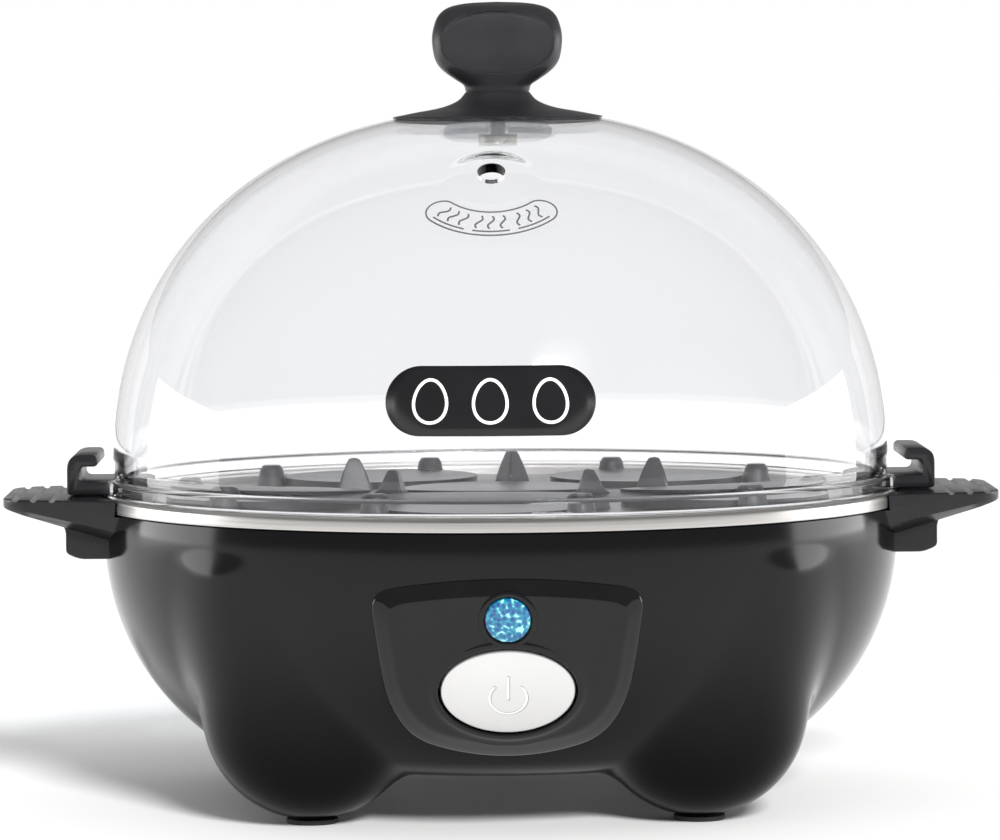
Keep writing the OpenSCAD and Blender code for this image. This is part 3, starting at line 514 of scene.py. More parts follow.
BOWL_LOOK = gloss_bowl()
PANEL_LOOK = moulded("panel_black", (0.004, 0.004, 0.0045), 0.06, waves=0.02, IOR=1.4)
WING_LOOK = moulded("handle_black", (0.006, 0.006, 0.007), 0.28, grain=0.008, IOR=1.42)
TRAY_LOOK = moulded("tray_black", (0.009, 0.009, 0.01), 0.3, grain=0.012, IOR=1.48)
KNOB_LOOK = moulded("knob_satin", (0.013, 0.013, 0.015), 0.38, grain=0.006, IOR=1.47)
DIMPLE_LOOK = moulded("knob_grain", (0.016, 0.016, 0.018), 0.5, grain=0.06, IOR=1.47)
MATT_LOOK = moulded("cover_matt", (0.02, 0.02, 0.021), 0.55, grain=0.02)
RUBBER_LOOK = moulded("pad_rubber_look", (0.018, 0.018, 0.019), 0.75, grain=0.02)
STEEL_LOOK = metal("rim_steel_look", (0.7, 0.68, 0.66), 0.3, streak=0.012, round_axis=True)
SATIN_LOOK = satin_paint("button_satin", (0.74, 0.735, 0.73), 0.3)
# Lighter and darker copies of the button's satin paint: the power mark's painted highlight and its painted
# shadow.
PAINTED_HIGHLIGHT_LOOK = satin_paint("mark_painted_highlight", (0.95, 0.95, 0.94), 0.25)
PAINTED_SHADOW_LOOK = satin_paint("mark_shade", (0.45, 0.45, 0.45), 0.45)
DOME_LOOK = clear_plastic("dome_clear_look", (0.975, 0.978, 0.99), 0.015, 1.45)
LENS_LOOK = prismatic_blue()
INK_LOOK = moulded("print_grey", (0.09, 0.09, 0.1), 0.45)
BADGE_LOOK = moulded("print_black", (0.006, 0.006, 0.007), 0.3)
WHITE_LOOK = moulded("print_white", (0.85, 0.85, 0.85), 0.45)

# Looks of the CAD nodes that are shown as they are
CARRIED = {
    "cover_black": MATT_LOOK,
    "pad_rubber": RUBBER_LOOK,
    "zinc_screw": metal("zinc", (0.6, 0.6, 0.57), 0.3, streak=0.004),
    "silicone": moulded("silicone_red", (0.42, 0.07, 0.04), 0.5),
    "cast_alloy": metal("cast_alloy_look", (0.7, 0.71, 0.72), 0.42, streak=0.02),
    "element_sheath": metal("sheath", (0.3, 0.29, 0.28), 0.4, streak=0.01),
    "brass": metal("brass_look", (0.75, 0.56, 0.26), 0.28, streak=0.005),
    "plated_strip": metal("plated", (0.66, 0.66, 0.65), 0.3, streak=0.006),
    "thermostat_can": metal("can", (0.68, 0.69, 0.7), 0.34, streak=0.006),
    "fuse_sleeve": moulded("sleeve", (0.78, 0.74, 0.65), 0.8, grain=0.05),
    "lamp_glass": clear_plastic("lamp_clear", (0.95, 0.95, 0.92), 0.02, 1.45),
    "cream_plastic": moulded("cream", (0.72, 0.67, 0.56), 0.45, grain=0.01),
    "white_plastic": moulded("acetal", (0.75, 0.75, 0.73), 0.4, grain=0.01),
    "switch_black": moulded("switch_body_look", (0.03, 0.032, 0.036), 0.45, grain=0.015),
    "gland_black": moulded("gland_look", (0.013, 0.013, 0.013), 0.42, grain=0.015),
    "lead_red": moulded("lead_silicone", (0.4, 0.05, 0.03), 0.45),
    "knob_black": KNOB_LOOK,
    "washer_clear": clear_plastic("washer_look", (0.9, 0.91, 0.93), 0.08, 1.42),
}


def dress_carried():
    """Gives each CAD node that stays its material."""
    slots = {s["node"]: s["material_slot"] for s in frame["record"]["subparts"]}
    for node, obj in frame["nodes"].items():
        look = CARRIED.get(slots[node])
        if look is not None:
            obj.data.materials.clear()
            obj.data.materials.append(look)


# ---------------------------------------------------------------- base


def at_lobes():
    return [
        np.array([LOBE_PLACE * math.cos(a), LOBE_PLACE * math.sin(a), LOBE_Z])
        for a in (math.radians(45 + 90 * i) for i in range(4))
    ]


def bowl_field(p, inward=0.0):
    """Below zero inside the bowl with its blended foot lobes, pulled in by inward."""
    r = np.hypot(p[:, 0], p[:, 1])
    level = p[:, 2] - WIDEST_Z
    bowl = np.where(r > ARC_X, np.hypot(r - ARC_X, level), np.abs(level)) - ARC_R
    bowl = smooth_max(bowl, FLOOR_Z - p[:, 2], 4.0)
    climb = np.clip((p[:, 2] - LOBE_Z + 5) / 24, 0, 1)
    lean = 1 + 4.1 / LOBE_PLACE * climb**2 * (3 - 2 * climb)
    for x, y, z in at_lobes():
        below = np.minimum(p[:, 2] - z, 0)
        lobe = np.sqrt((p[:, 0] - x * lean) ** 2 + (p[:, 1] - y * lean) ** 2 + below**2) - LOBE_R
        lobe = smooth_max(lobe, p[:, 2] - WIDEST_Z + 2, 4)
        bowl = smooth_min(bowl, lobe, 3.2)
    return smooth_max(bowl, FOOT_Z - p[:, 2], 1.2) + inward


def bowl_loops(inward, cols, rows, top_z, hole_r):
    """Loops of the bowl's skin from its bottom hole up to top_z."""
    eye = np.array([0, 0, top_z])
    floor = FLOOR_Z + inward
    lowest = math.atan2(hole_r, top_z - floor)
    fall = np.linspace(lowest, math.pi / 2, rows)
    turn = np.linspace(0, 2 * math.pi, cols, endpoint=False)
    a, t = np.meshgrid(fall, turn, indexing="ij")
    ways = np.stack([np.sin(a) * np.cos(t), np.sin(a) * np.sin(t), -np.cos(a)], axis=-1).reshape(-1, 3)
    far = reach(lambda p: bowl_field(p, inward), eye, ways, 0, 140)
    return (eye + ways * far[:, None]).reshape(rows, cols, 3)


def circle_loop(radius, z, cols):
    turn = np.linspace(0, 2 * math.pi, cols, endpoint=False)
    return np.stack([radius * np.cos(turn), radius * np.sin(turn), np.full(cols, z)], axis=1)


def make_bowl():
    cols = 384
    outer = bowl_loops(0, cols, 170, SHELL_TOP_Z, COVER_HIGH[0] + 0.15)
    inner = bowl_loops(WALL, cols, 90, SHELL_TOP_Z, COVER_HIGH[0] - 3)
    lip = [
        circle_loop(r, z, cols)
        for r, z in (
            (LIP_OUT_R + 0.1, SHELL_TOP_Z + 0.12), (LIP_OUT_R, SHELL_TOP_Z + 0.4),
            (LIP_OUT_R, LIP_TOP_Z - 0.25),
            (LIP_OUT_R - 0.25, LIP_TOP_Z), (LIP_IN_R + 0.25, LIP_TOP_Z), (LIP_IN_R, LIP_TOP_Z - 0.25),
            (LIP_IN_R, SHELL_TOP_Z),
        )
    ]
    seat = [
        circle_loop(COVER_HIGH[0] - 3, FLOOR_Z + 2.0, cols),
        circle_loop(COVER_HIGH[0] + 0.1, FLOOR_Z + 2.0, cols),
        circle_loop(COVER_HIGH[0] + 0.1, FLOOR_Z + 0.15, cols),
    ]
    loops = np.concatenate([outer, lip, inner[::-1], seat])
    bowl = loft("bowl", loops, BOWL_LOOK, closed=True)
    wells = [
        revolve("well", rounded([(0, 0), (2.9, 0), (2.9, 17), (0, 17)], 0), None, 32, centre)
        for centre in ((41, 0), (-41, 0), (0, -41))
    ]
    cut(bowl, *wells)
    return settle(sharpen(bowl, 50), "base", "gloss_black", "base_shell")


def make_cord_boss():
    """Round flat boss on the bowl's back that the cord inlet sits on."""
    low, high = GLAND_LOW, GLAND_HIGH
    z = (low[2] + high[2]) / 2
    face = high[1] - 3.05
    outline = rounded([(6.2, 0), (9, 0), (9, 9), (6.2, 9)], [0, 0, 0.6, 0.3])
    boss = revolve("cord_boss", outline, BOWL_LOOK, 96)
    turn_to_rear(boss, z, face - 9)
    return settle(boss, "base", "gloss_black")


def turn_to_rear(obj, z, y):
    """Lays an upright piece along +Y at a height, from a distance."""
    points = np.empty(len(obj.data.vertices) * 3)
    obj.data.vertices.foreach_get("co", points)
    points = points.reshape(-1, 3)
    laid = np.stack([points[:, 0], points[:, 2] + y * MM, z * MM - points[:, 1]], axis=1)
    obj.data.vertices.foreach_set("co", laid.ravel())
    obj.data.update()
    face_outward(obj)


def make_gland():
    """Cord inlet bush with a rounded flange and a finger-grip ring."""
    z = (GLAND_LOW[2] + GLAND_HIGH[2]) / 2
    length = GLAND_HIGH[1] - GLAND_LOW[1]
    flange = length - 3
    outline = rounded(
        [(3.2, 0), (6, 0), (6, flange), (8, flange), (8, length - 0.9), (5.6, length), (3.2, length)],
        [0.2, 0.4, 0, 0.3, 1.0, 0.8, 0.7], 6,
    )
    gland = revolve("cord_gland_bush", outline, CARRIED["gland_black"], 96)
    turn_to_rear(gland, z, GLAND_LOW[1])
    return settle(sharpen(gland, 50), "base", "gland_black", "cord_gland")


def make_pads():
    """Rubber foot pads with a rounded tread."""
    names = ("foot_pad_rear_right", "foot_pad_rear_left", "foot_pad_front_left", "foot_pad_front_right")
    for name, centre in zip(names, at_lobes()):
        r = (PAD_HIGH - PAD_LOW)[0] / 2
        outline = rounded(
            [(0, 0), (r - 1.4, 0), (r - 1.1, 0.25), (r - 0.8, 0), (r, 0), (r, 0.9), (2, 0.9), (2, 5), (0, 5)],
            [0, 0.1, 0.1, 0.1, 0.4, 0.1, 0, 0.4, 0],
        )
        pad = revolve(name + "_tread", outline, RUBBER_LOOK, 64, centre[:2])
        settle(sharpen(pad), "base", "pad_rubber", name)


def make_plate():
    """Steel water pan with its rolled rim."""
    sheet = 0.8
    stand = LIP_IN_R - 0.2
    pan = stand - sheet - 12.2
    floor = LEDGE_Z - 9.4
    outline = rounded(
        [
            (0, floor), (pan, floor), (pan, LEDGE_Z), (stand - sheet, LEDGE_Z), (stand - sheet, RIM_Z),
            (RIM_R, RIM_Z), (RIM_R, RIM_Z - 2.6), (RIM_R - sheet, RIM_Z - 2.6),
            (RIM_R - sheet, RIM_Z - sheet),
            (stand, RIM_Z - sheet), (stand, LEDGE_Z - sheet), (pan + sheet, LEDGE_Z - sheet),
            (pan + sheet, floor - sheet), (0, floor - sheet),
        ],
        [0, 2.2, 0.9, 0.7, 0.7, 0.9, 0.25, 0.25, 0.2, 0.2, 0.8, 0.9, 2.4, 0],
        7,
    )
    plate = revolve("steel_pan", outline, STEEL_LOOK, 288)
    return settle(sharpen(plate, 60), "base", "rim_steel", "heater_plate")


def wing_outline(tip_x, tip_w, root_x, root_w, corner):
    """Plan of a wing handle toward +X."""
    return rounded(
        [(root_x, -root_w), (tip_x, -tip_w), (tip_x, tip_w), (root_x, root_w)], [0, corner, corner, 0], 10,
    )


def gusset(y, top_z):
    """Web under a handle that holds one of its screws."""
    low_z, reach_x = SCREW_LOW[2] - 0.5, SCREW_HIGH[0] + 0.5
    points = [
        (BODY_R - 6, top_z - 2), (reach_x + 1.5, top_z - 2), (reach_x, SCREW_HIGH[2]),
        (reach_x, SCREW_LOW[2] + 0.6), (reach_x - 2.5, low_z), (BODY_R - 6, low_z),
    ]
    web = loft(
        "gusset",
        [
            [(x, y + w, z) for x, z in rounded(points, [0, 0, 0.6, 0.8, 1.2, 0], 6)]
            for w in (-2.6, 2.6)
        ],
        WING_LOOK, cap_first=True, cap_last=True,
    )
    return bevel(web, 0.5, 2)


def make_wing(side):
    """Wing handle toward side * X, with three grip grooves and a web round each of its two screws."""
    tip_x, top_z = WING_HIGH[0] - 0.6, WING_HIGH[2]
    root_x = BODY_R - 12
    plan = wing_outline(tip_x, 17.5, root_x, 26, 6.5)
    tip_low, root_low = top_z - 1.7, top_z - 7.4
    slope = (tip_low - root_low) / (tip_x - BODY_R)
    loops = [[(x, y, top_z) for x, y in plan]]
    for share, squeeze in ((0.3, 0.02), (0.7, 0.16), (1.0, 0.5)):
        depth = [(top_z - tip_low + slope * (tip_x - x)) * share for x, y in plan]
        draw = [1 - squeeze * min(1, (tip_x - x) / 20) for x, y in plan]
        loops.append([(x, y * k, top_z - d) for (x, y), d, k in zip(plan, depth, draw)])
    wing = loft(f"wing_{'right' if side > 0 else 'left'}", loops[::-1], WING_LOOK, cap_first=True,
        cap_last=True)
    bevel(wing, 0.6, 4, 40)
    tools = []
    for i in range(3):
        x = tip_x - 2.6 - 3.45 * i
        line = [(x, y, top_z + 0.25) for y in np.linspace(-40, 40, 3)]
        tools.append(tube("groove", line, 0.7, None, 16))
    for y in (-SCREW_Y, SCREW_Y):
        cut(wing, gusset(y, top_z), operation="UNION")
    arc = [
        (ARC_X + math.sqrt((ARC_R - 1) ** 2 - (z - WIDEST_Z) ** 2), z)
        for z in np.linspace(30, SHELL_TOP_Z - 0.2, 20)
    ]
    core = [(0, 30), *arc, (RIM_R + 0.3, SHELL_TOP_Z - 0.2), (RIM_R + 0.3, 80), (0, 80)]
    cut(wing, revolve("core", core, None, 192), *tools)
    if side < 0:
        mirror_x(wing)
    node = "handle_right" if side > 0 else "handle_left"
    return settle(sharpen(wing, 28), "base", "handle_black", node)


def mirror_x(obj):
    """Flips a mesh to the other side of the YZ plane."""
    for vertex in obj.data.vertices:
        vertex.co.x = -vertex.co.x
    face_outward(obj)


# ---------------------------------------------------------------- front panel


def panel_y(x, z, out):
    """Y of the panel's curved front at a front-view point, lifted by out."""
    ring = PANEL_ARC_X + np.sqrt((PANEL_ARC_R + out) ** 2 - (z - WIDEST_Z) ** 2)
    return -np.sqrt(ring**2 - x**2)


def bowl_y(x, z, out):
    ring = ARC_X + np.sqrt((ARC_R + out) ** 2 - (z - WIDEST_Z) ** 2)
    return -np.sqrt(ring**2 - x**2)


def outline_field(p):
    """Below zero inside the panel's outline, seen from the front as (x, z)."""
    x, z = np.abs(p[:, 0]), p[:, 1]
    tilt = math.atan(0.145)
    side = (x - 21.1 - (z - PANEL_BOTTOM - 8.9) * math.tan(tilt)) * math.cos(tilt)
    top = np.hypot(x, z - (PANEL_TOP + 0.1 - 120)) - 120
    low = np.hypot(x, z - (PANEL_BOTTOM - 0.1 + 41)) - 41
    edge = smooth_max(side, top, 4)
    return smooth_max(edge, low, 7)


def outline_loop(inset, cols):
    """Front-view points of the panel's outline, in by a margin that may vary."""
    turn = np.linspace(0, 2 * math.pi, cols, endpoint=False)
    ways = np.stack([np.cos(turn), np.sin(turn)], axis=1)
    eye = np.array([0, (PANEL_TOP + PANEL_BOTTOM) / 2])
    inset = inset * np.ones(cols)
    lows, highs = np.zeros(cols), np.full(cols, 60.0)
    for _ in range(40):
        mid = (lows + highs) / 2
        inside = outline_field(eye + ways * mid[:, None]) + inset < 0
        lows, highs = np.where(inside, mid, lows), np.where(inside, highs, mid)
    return eye + ways * lows[:, None]


class Axis:
    """A direction square to the panel at a height, for what is set into it."""

    def __init__(self, z):
        level = WIDEST_Z - z
        tilt = math.asin(level / PANEL_ARC_R)
        self.origin = np.array([0, -(PANEL_ARC_X + PANEL_ARC_R * math.cos(tilt)), z])
        self.out = np.array([0, -math.cos(tilt), -math.sin(tilt)])
        self.up = np.array([0, -math.sin(tilt), math.cos(tilt)])

    def point(self, u, v, s):
        """Point across by u, up the panel by v and out by s."""
        u, v, s = (np.asarray(k, dtype=float)[..., None] for k in (u, v, s))
        return self.origin + u * np.array([1.0, 0, 0]) + v * self.up + s * self.out

    def front(self, u, v):
        """How far out the panel's front lies at (u, v)."""
        u, v = np.broadcast_arrays(np.asarray(u, dtype=float), np.asarray(v, dtype=float))
        low, high = np.full(u.shape, -12.0), np.full(u.shape, 6.0)
        for _ in range(36):
            mid = (low + high) / 2
            p = self.point(u, v, mid)
            r = np.hypot(p[..., 0], p[..., 1])
            inside = np.hypot(r - PANEL_ARC_X, p[..., 2] - WIDEST_Z) < PANEL_ARC_R
            low, high = np.where(inside, mid, low), np.where(inside, high, mid)
        return (low + high) / 2


BUTTON_AXIS = Axis(BUTTON_Z)
LENS_AXIS = Axis(LENS_Z)


def oval(grow, cols, turn=None):
    turn = np.linspace(0, 2 * math.pi, cols, endpoint=False) if turn is None else turn
    return (BUTTON_W / 2 + grow) * np.cos(turn), (BUTTON_H / 2 + grow) * np.sin(turn)


def make_panel():
    """Gloss panel with a bevelled edge and a raised lip round the button."""
    cols = 288
    turn = np.linspace(0, 2 * math.pi, cols, endpoint=False)
    broad = 2.45 + 0.3 * np.clip(-np.sin(turn), 0, 1) ** 2
    loops = []
    for share, out in (
        (0.0, None), (0.0, -1.5), (0.03, -1.28), (0.12, -1.12), (0.5, -0.72), (0.86, -0.3),
        (0.97, -0.14), (1.08, -0.05), (1.2, 0.0),
    ):
        p = outline_loop(share * broad, cols)
        y = bowl_y(p[:, 0], p[:, 1], -0.6) if out is None else panel_y(p[:, 0], p[:, 1], out)
        loops.append(np.stack([p[:, 0], y, p[:, 1]], axis=1))
    first = outline_loop(1.3 * broad, cols)
    u, v = oval(3.2, cols)
    last = BUTTON_AXIS.point(u, v, BUTTON_AXIS.front(u, v))[:, [0, 2]]
    for t in np.linspace(0, 1, 12):
        p = first * (1 - t) + last * t
        loops.append(np.stack([p[:, 0], panel_y(p[:, 0], p[:, 1], 0), p[:, 1]], axis=1))
    for grow, rise in (
        (2.5, 0.02), (2.0, 0.1), (1.6, 0.3), (1.25, 0.46), (0.9, 0.5), (0.6, 0.45), (0.42, 0.25),
        (0.38, 0.0), (0.38, -5.0),
    ):
        u, v = oval(grow, cols)
        loops.append(BUTTON_AXIS.point(u, v, BUTTON_AXIS.front(u, v) + rise))
    panel = loft("front_panel", loops, PANEL_LOOK)
    well = lens_ring("well", [(0, -4), (LENS_R + 0.12, -4), (LENS_R + 0.12, 5), (0, 5)], None, 96)
    cut(panel, well)
    settle(sharpen(panel, 50), "base", "panel_black", "control_panel")
    collar = rounded(
        [(LENS_R + 0.05, -3.5), (LENS_R + 1.15, -1), (LENS_R + 1.15, 0.0), (LENS_R + 0.75, 0.2),
            (LENS_R + 0.2, 0.2)],
        [0, 0, 0.3, 0.4, 0.3], 5,
    )
    ring = lens_ring("lens_collar", collar, PANEL_LOOK, 128)
    settle(ring, "base", "panel_black")


def lens_ring(name, outline, material, cols):
    """Skin of an outline of (radius, out) turned round the lens's axis."""
    turn = np.linspace(0, 2 * math.pi, cols, endpoint=False)
    loops = [LENS_AXIS.point(r * np.cos(turn), r * np.sin(turn), np.full(cols, s)) for r, s in outline]
    obj = loft(name, loops, material, closed=True)
    weld(obj)
    return obj


def make_lens():
    dome = [
        (LENS_R * 0.975 * math.sin(a), 0.1 + 0.5 * math.cos(a) ** 1.4)
        for a in np.linspace(0, math.pi / 2, 20)
    ]
    outline = [*dome, (LENS_R * 0.975, -3.4), (0, -3.4)]
    lens = lens_ring("lamp_lens", outline, LENS_LOOK, 128)
    settle(sharpen(lens, 60), "base", "blue_lens", "indicator_lens")


def button_height(u, v):
    """How far out the button's face stands at (u, v)."""
    rho = np.sqrt((u / (BUTTON_W / 2)) ** 2 + (v / (BUTTON_H / 2)) ** 2)
    crown = 0.72 * (1 - np.clip(rho, 0, 1) ** 3) + 0.06
    return BUTTON_AXIS.front(u, v) + crown


def make_button():
    """Satin oval button with a raised power mark; the mark is a lighter satin as a painted highlight, with a
    darker grey strip beside it as its painted shadow.
    """
    cols = 192
    turn = np.linspace(0, 2 * math.pi, cols, endpoint=False)
    loops = []
    for share in (0.004, 0.1, 0.2, 0.32, 0.44, 0.56, 0.68, 0.78, 0.86, 0.92, 0.96, 0.98):
        u, v = share * BUTTON_W / 2 * np.cos(turn), share * BUTTON_H / 2 * np.sin(turn)
        loops.append(BUTTON_AXIS.point(u, v, button_height(u, v)))
    for grow, drop in ((-0.12, 0.05), (-0.03, 0.16), (0.0, 0.35), (0.0, 5.5)):
        u, v = oval(grow, cols)
        loops.append(BUTTON_AXIS.point(u, v, button_height(u, v) - drop))
    for grow, low in ((0.9, -5.2), (0.9, -6.35), (0.0, -6.35)):
        u, v = (BUTTON_W / 2 + grow) * np.cos(turn), BUTTON_H / 2 * np.sin(turn)
        loops.append(BUTTON_AXIS.point(u, v, np.full(cols, low)))
    button = loft("power_button_face", loops, SATIN_LOOK, cap_first=True, cap_last=True)
    settle(sharpen(button, 40), "button", "button_silver", "power_button")
    ring = np.radians(np.linspace(133, 407, 72))
    spots = [(3.25 * np.cos(ring), 3.25 * np.sin(ring) - 0.35), (np.zeros(24), np.linspace(-0.6, 4.1, 24))]
    for name, (u, v) in zip(("power_mark_ring", "power_mark_bar"), spots):
        # Each line of the mark is drawn twice: in the lighter satin as its painted highlight, and as a
        # slightly wider darker strip, shifted down and to the right, as its painted shadow.
        for part, shift, sink, radius, look in (
            ("", 0.0, 0.03, 0.25, PAINTED_HIGHLIGHT_LOOK), ("_shade", 0.12, 0.1, 0.27, PAINTED_SHADOW_LOOK),
        ):
            across, up = u + shift, v - shift * 0.7
            path = BUTTON_AXIS.point(across, up, button_height(across, up) - sink)
            over = np.tile(BUTTON_AXIS.out, (len(path), 1))
            settle(tube(name + part, path, radius, look, 12, 0.75, over), "button", "button_silver")


# ---------------------------------------------------------------- egg tray


def make_tray():
    """Tray plate with raised seat edges, collars and studs."""
    plate = revolve(
        "tray_plate",
        rounded([(0, TRAY_BASE_Z), (TRAY_R, TRAY_BASE_Z), (TRAY_R, TRAY_TOP_Z), (0, TRAY_TOP_Z)],
            [0, 0.6, 0.8, 0]),
        TRAY_LOOK, 256,
    )
    low = TRAY_LOW[2]
    for x, y in SEATS:
        collar = revolve(
            "collar",
            rounded(
                [
                    (SEAT_R - 1, low), (SEAT_R + 1.6, low), (SEAT_R + 1.6, TRAY_BASE_Z + 0.5),
                    (SEAT_R - 1, TRAY_BASE_Z + 0.5),
                ],
                [0, 0.4, 0, 0],
            ),
            None, 96, (x, y),
        )
        cut(plate, collar, operation="UNION")
    for x, y in SEATS:
        flare = [
            (SEAT_R + 2.2 - 2.2 * math.sin(a), TRAY_TOP_Z + 0.01 - 1.6 * (1 - math.cos(a)))
            for a in np.linspace(0, math.pi / 2, 7)
        ]
        bore = [(0, low - 1), (SEAT_R, low - 1), *reversed(flare), (SEAT_R + 2.2, TRAY_TOP_Z + 2),
            (0, TRAY_TOP_Z + 2)]
        cut(plate, revolve("bore", bore, None, 96, (x, y)))
    settle(sharpen(plate, 40), "tray", "tray_black", "egg_tray")
    place = TRAY_R - 11.2
    for i in range(10):
        a = math.radians(-95 + 36 * i + 18)
        stud = revolve(
            f"tray_stud_{i}",
            rounded(
                [
                    (0, TRAY_TOP_Z - 0.4), (3.3, TRAY_TOP_Z - 0.4), (2.75, TRAY_TOP_Z + 0.5),
                    (2.3, TRAY_TOP_Z + 3.3), (1.7, TRAY_TOP_Z + 4.2), (0, TRAY_TOP_Z + 4.2),
                ],
                [0, 0, 0.5, 0.3, 0.2, 0],
            ),
            TRAY_LOOK, 40, (place * math.cos(a), place * math.sin(a)),
        )
        settle(sharpen(stud, 40), "tray", "tray_black")


def make_fins():
    """Pointed egg rests where three seats meet."""
    place = TRAY_R * 0.43
    for i in range(5):
        a = math.radians(-95 + 36 + 72 * i)
        x, y = place * math.cos(a), place * math.sin(a)
        loops = []
        for share, z in (
            (1.05, -0.3), (1.0, 0.2), (0.84, 2.2), (0.62, 4.4), (0.38, 6.4), (0.28, 6.95), (0.1, 7.15),
        ):
            corners = [
                (4.6 * share * math.cos(a + t), 4.6 * share * math.sin(a + t))
                for t in (math.pi / 3, math.pi, -math.pi / 3)
            ]
            ring = rounded(corners, 1.2 * share, 7)
            loops.append([(x + p, y + q, TRAY_TOP_Z + z) for p, q in ring])
        fin = loft(f"tray_fin_{i}", loops, TRAY_LOOK, cap_first=True, cap_last=True)
        settle(sharpen(fin, 40), "tray", "tray_black")


def make_tab(side):
    """Lifting handle of the tray: a hook that passes over the rim."""
    arm_low, arm_top = RIM_Z + 0.3, RIM_Z + 2.6
    out_x, top = RIM_R + 6, TRAY_HIGH[2]
    half = 12.0
    points = [
        (TRAY_R - 4, TRAY_BASE_Z + 0.5), (TRAY_R - 0.8, TRAY_BASE_Z + 0.5), (TRAY_R - 0.8, arm_low),
        (out_x, arm_low),
        (out_x, top), (RIM_R + 0.4, top), (RIM_R + 0.4, top - 2.2), (out_x - 2.2, top - 2.2),
        (out_x - 2.2, arm_top), (TRAY_R - 4, arm_top),
    ]
    corners = [0.8, 0.8, 0.8, 0.8, 3.0, 1.2, 0.7, 1.2, 1.2, 0.8]
    outline = rounded(points, corners, 7)
    rows = []
    for y, inset in (
        (-half, 0.3), (-half + 0.1, 0.1), (-half + 0.3, 0.0),
        (half - 0.3, 0.0), (half - 0.1, 0.1), (half, 0.3),
    ):
        rows.append([(side * x, y, z) for x, z in shrink(outline, inset)])
    tab = loft(f"tray_handle_{'right' if side > 0 else 'left'}", rows, TRAY_LOOK, cap_first=True,
        cap_last=True)
    settle(sharpen(tab, 40), "tray", "tray_black")


def shrink(outline, inset):
    """A closed outline moved inward by a small margin."""
    if inset == 0:
        return outline
    ahead = np.roll(outline, -1, axis=0) - np.roll(outline, 1, axis=0)
    ahead /= np.linalg.norm(ahead, axis=1, keepdims=True)
    inward = np.stack([-ahead[:, 1], ahead[:, 0]], axis=1)
    return outline + inward * inset * 0.8


# ---------------------------------------------------------------- lid


def dome_point(a, turn, inset):
    """Point of the dome at rise angle a, in by a wall."""
    r = (LID_R - inset) * np.cos(a) ** (2 / LID_POWER)
    z = LID_MID_Z + (LID_RISE - inset) * np.sin(a) ** (2 / LID_POWER)
    return np.stack([r * np.cos(turn), r * np.sin(turn), z + 0 * turn], axis=-1)


def dome_z(r, inset=0.0):
    return LID_MID_Z + (LID_RISE - inset) * (1 - (r / (LID_R - inset)) ** LID_POWER) ** (1 / LID_POWER)


def dome_slope(r):
    """Angle above level of the dome's outward direction at radius r."""
    up = ((dome_z(r) - LID_MID_Z) / LID_RISE) ** (LID_POWER - 1) / LID_RISE
    out = (r / LID_R) ** (LID_POWER - 1) / LID_R
    return math.atan2(up, out)


VENT_TILT = dome_slope(VENT_R)
VENT_TURN = math.radians(-2.5)
VENT_WAY = np.array([math.sin(VENT_TURN), -math.cos(VENT_TURN), 0])
UPRIGHT = np.array([0, 0, 1.0])
VENT_AT = VENT_R * VENT_WAY + dome_z(VENT_R) * UPRIGHT
VENT_OUT = math.cos(VENT_TILT) * VENT_WAY + math.sin(VENT_TILT) * UPRIGHT
VENT_UP = -math.sin(VENT_TILT) * VENT_WAY + math.cos(VENT_TILT) * UPRIGHT


def dish(points, depth):
    """Presses the steam dish into the dome's skin."""
    away = points - VENT_AT
    away = away - (away @ VENT_OUT)[..., None] * VENT_OUT
    rho = np.linalg.norm(away, axis=-1) / 8.2
    near = (points - VENT_AT) @ VENT_OUT > -8
    press = np.clip(1 - rho**2, 0, 1) ** 1.2 * near
    return points - depth * press[..., None] * VENT_OUT


def make_dome():
    """Clear dome with a foot flange, handle notches, steam dish and hole."""
    cols, rows = 360, 150
    turn = np.linspace(0, 2 * math.pi, cols, endpoint=False)
    top = math.acos((4.0 / LID_R) ** (LID_POWER / 2))
    rises = np.linspace(0, 1, rows) ** 0.9 * top
    outer = [dish(dome_point(a, turn, 0), 0.9) for a in rises]
    inner = [dish(dome_point(a, turn, LID_WALL), 0.75) for a in rises]
    foot = [
        circle_loop(r, z, cols)
        for r, z in (
            (LID_R - LID_WALL, LID_MID_Z - 0.6), (LID_R - LID_WALL, LID_FOOT_Z + 0.2),
            (LID_R - LID_WALL + 0.2, LID_FOOT_Z),
            (LID_FLANGE_R - 0.35, LID_FOOT_Z), (LID_FLANGE_R, LID_FOOT_Z + 0.35),
            (LID_FLANGE_R, LID_FOOT_Z + 2.1),
            (LID_FLANGE_R - 0.45, LID_FOOT_Z + 2.55), (LID_R + 0.5, LID_FOOT_Z + 2.65),
            (LID_R + 0.05, LID_MID_Z - 0.1),
        )
    ]
    loops = np.concatenate([foot, outer, inner[::-1]])
    dome = loft("clear_dome", loops, DOME_LOOK, closed=True)
    notches = []
    for side in (-1, 1):
        points = [
            (s * 12.8, z)
            for s, z in ((-1, LID_FOOT_Z - 2), (1, LID_FOOT_Z - 2), (1, RIM_Z + 3.4), (-1, RIM_Z + 3.4))
        ]
        outline = rounded(points, [0, 0, 0.9, 0.9], 5)
        rows_x = [side * (LID_R - 8), side * (LID_R + 8)]
        notches.append(loft("notch", [[(x, y, z) for y, z in outline] for x in rows_x], None,
            cap_first=True, cap_last=True))
    centre = VENT_AT + 2.5 * VENT_UP
    path = [centre - 6 * VENT_OUT, centre + 6 * VENT_OUT]
    hole = tube("hole", path, 2.5, None, 48, 1.0, [VENT_UP, VENT_UP])
    cut(dome, *notches, hole)
    return settle(sharpen(dome, 38), "lid", "dome_clear", "lid_dome")


PRINT_TURN = math.radians(-2.2)


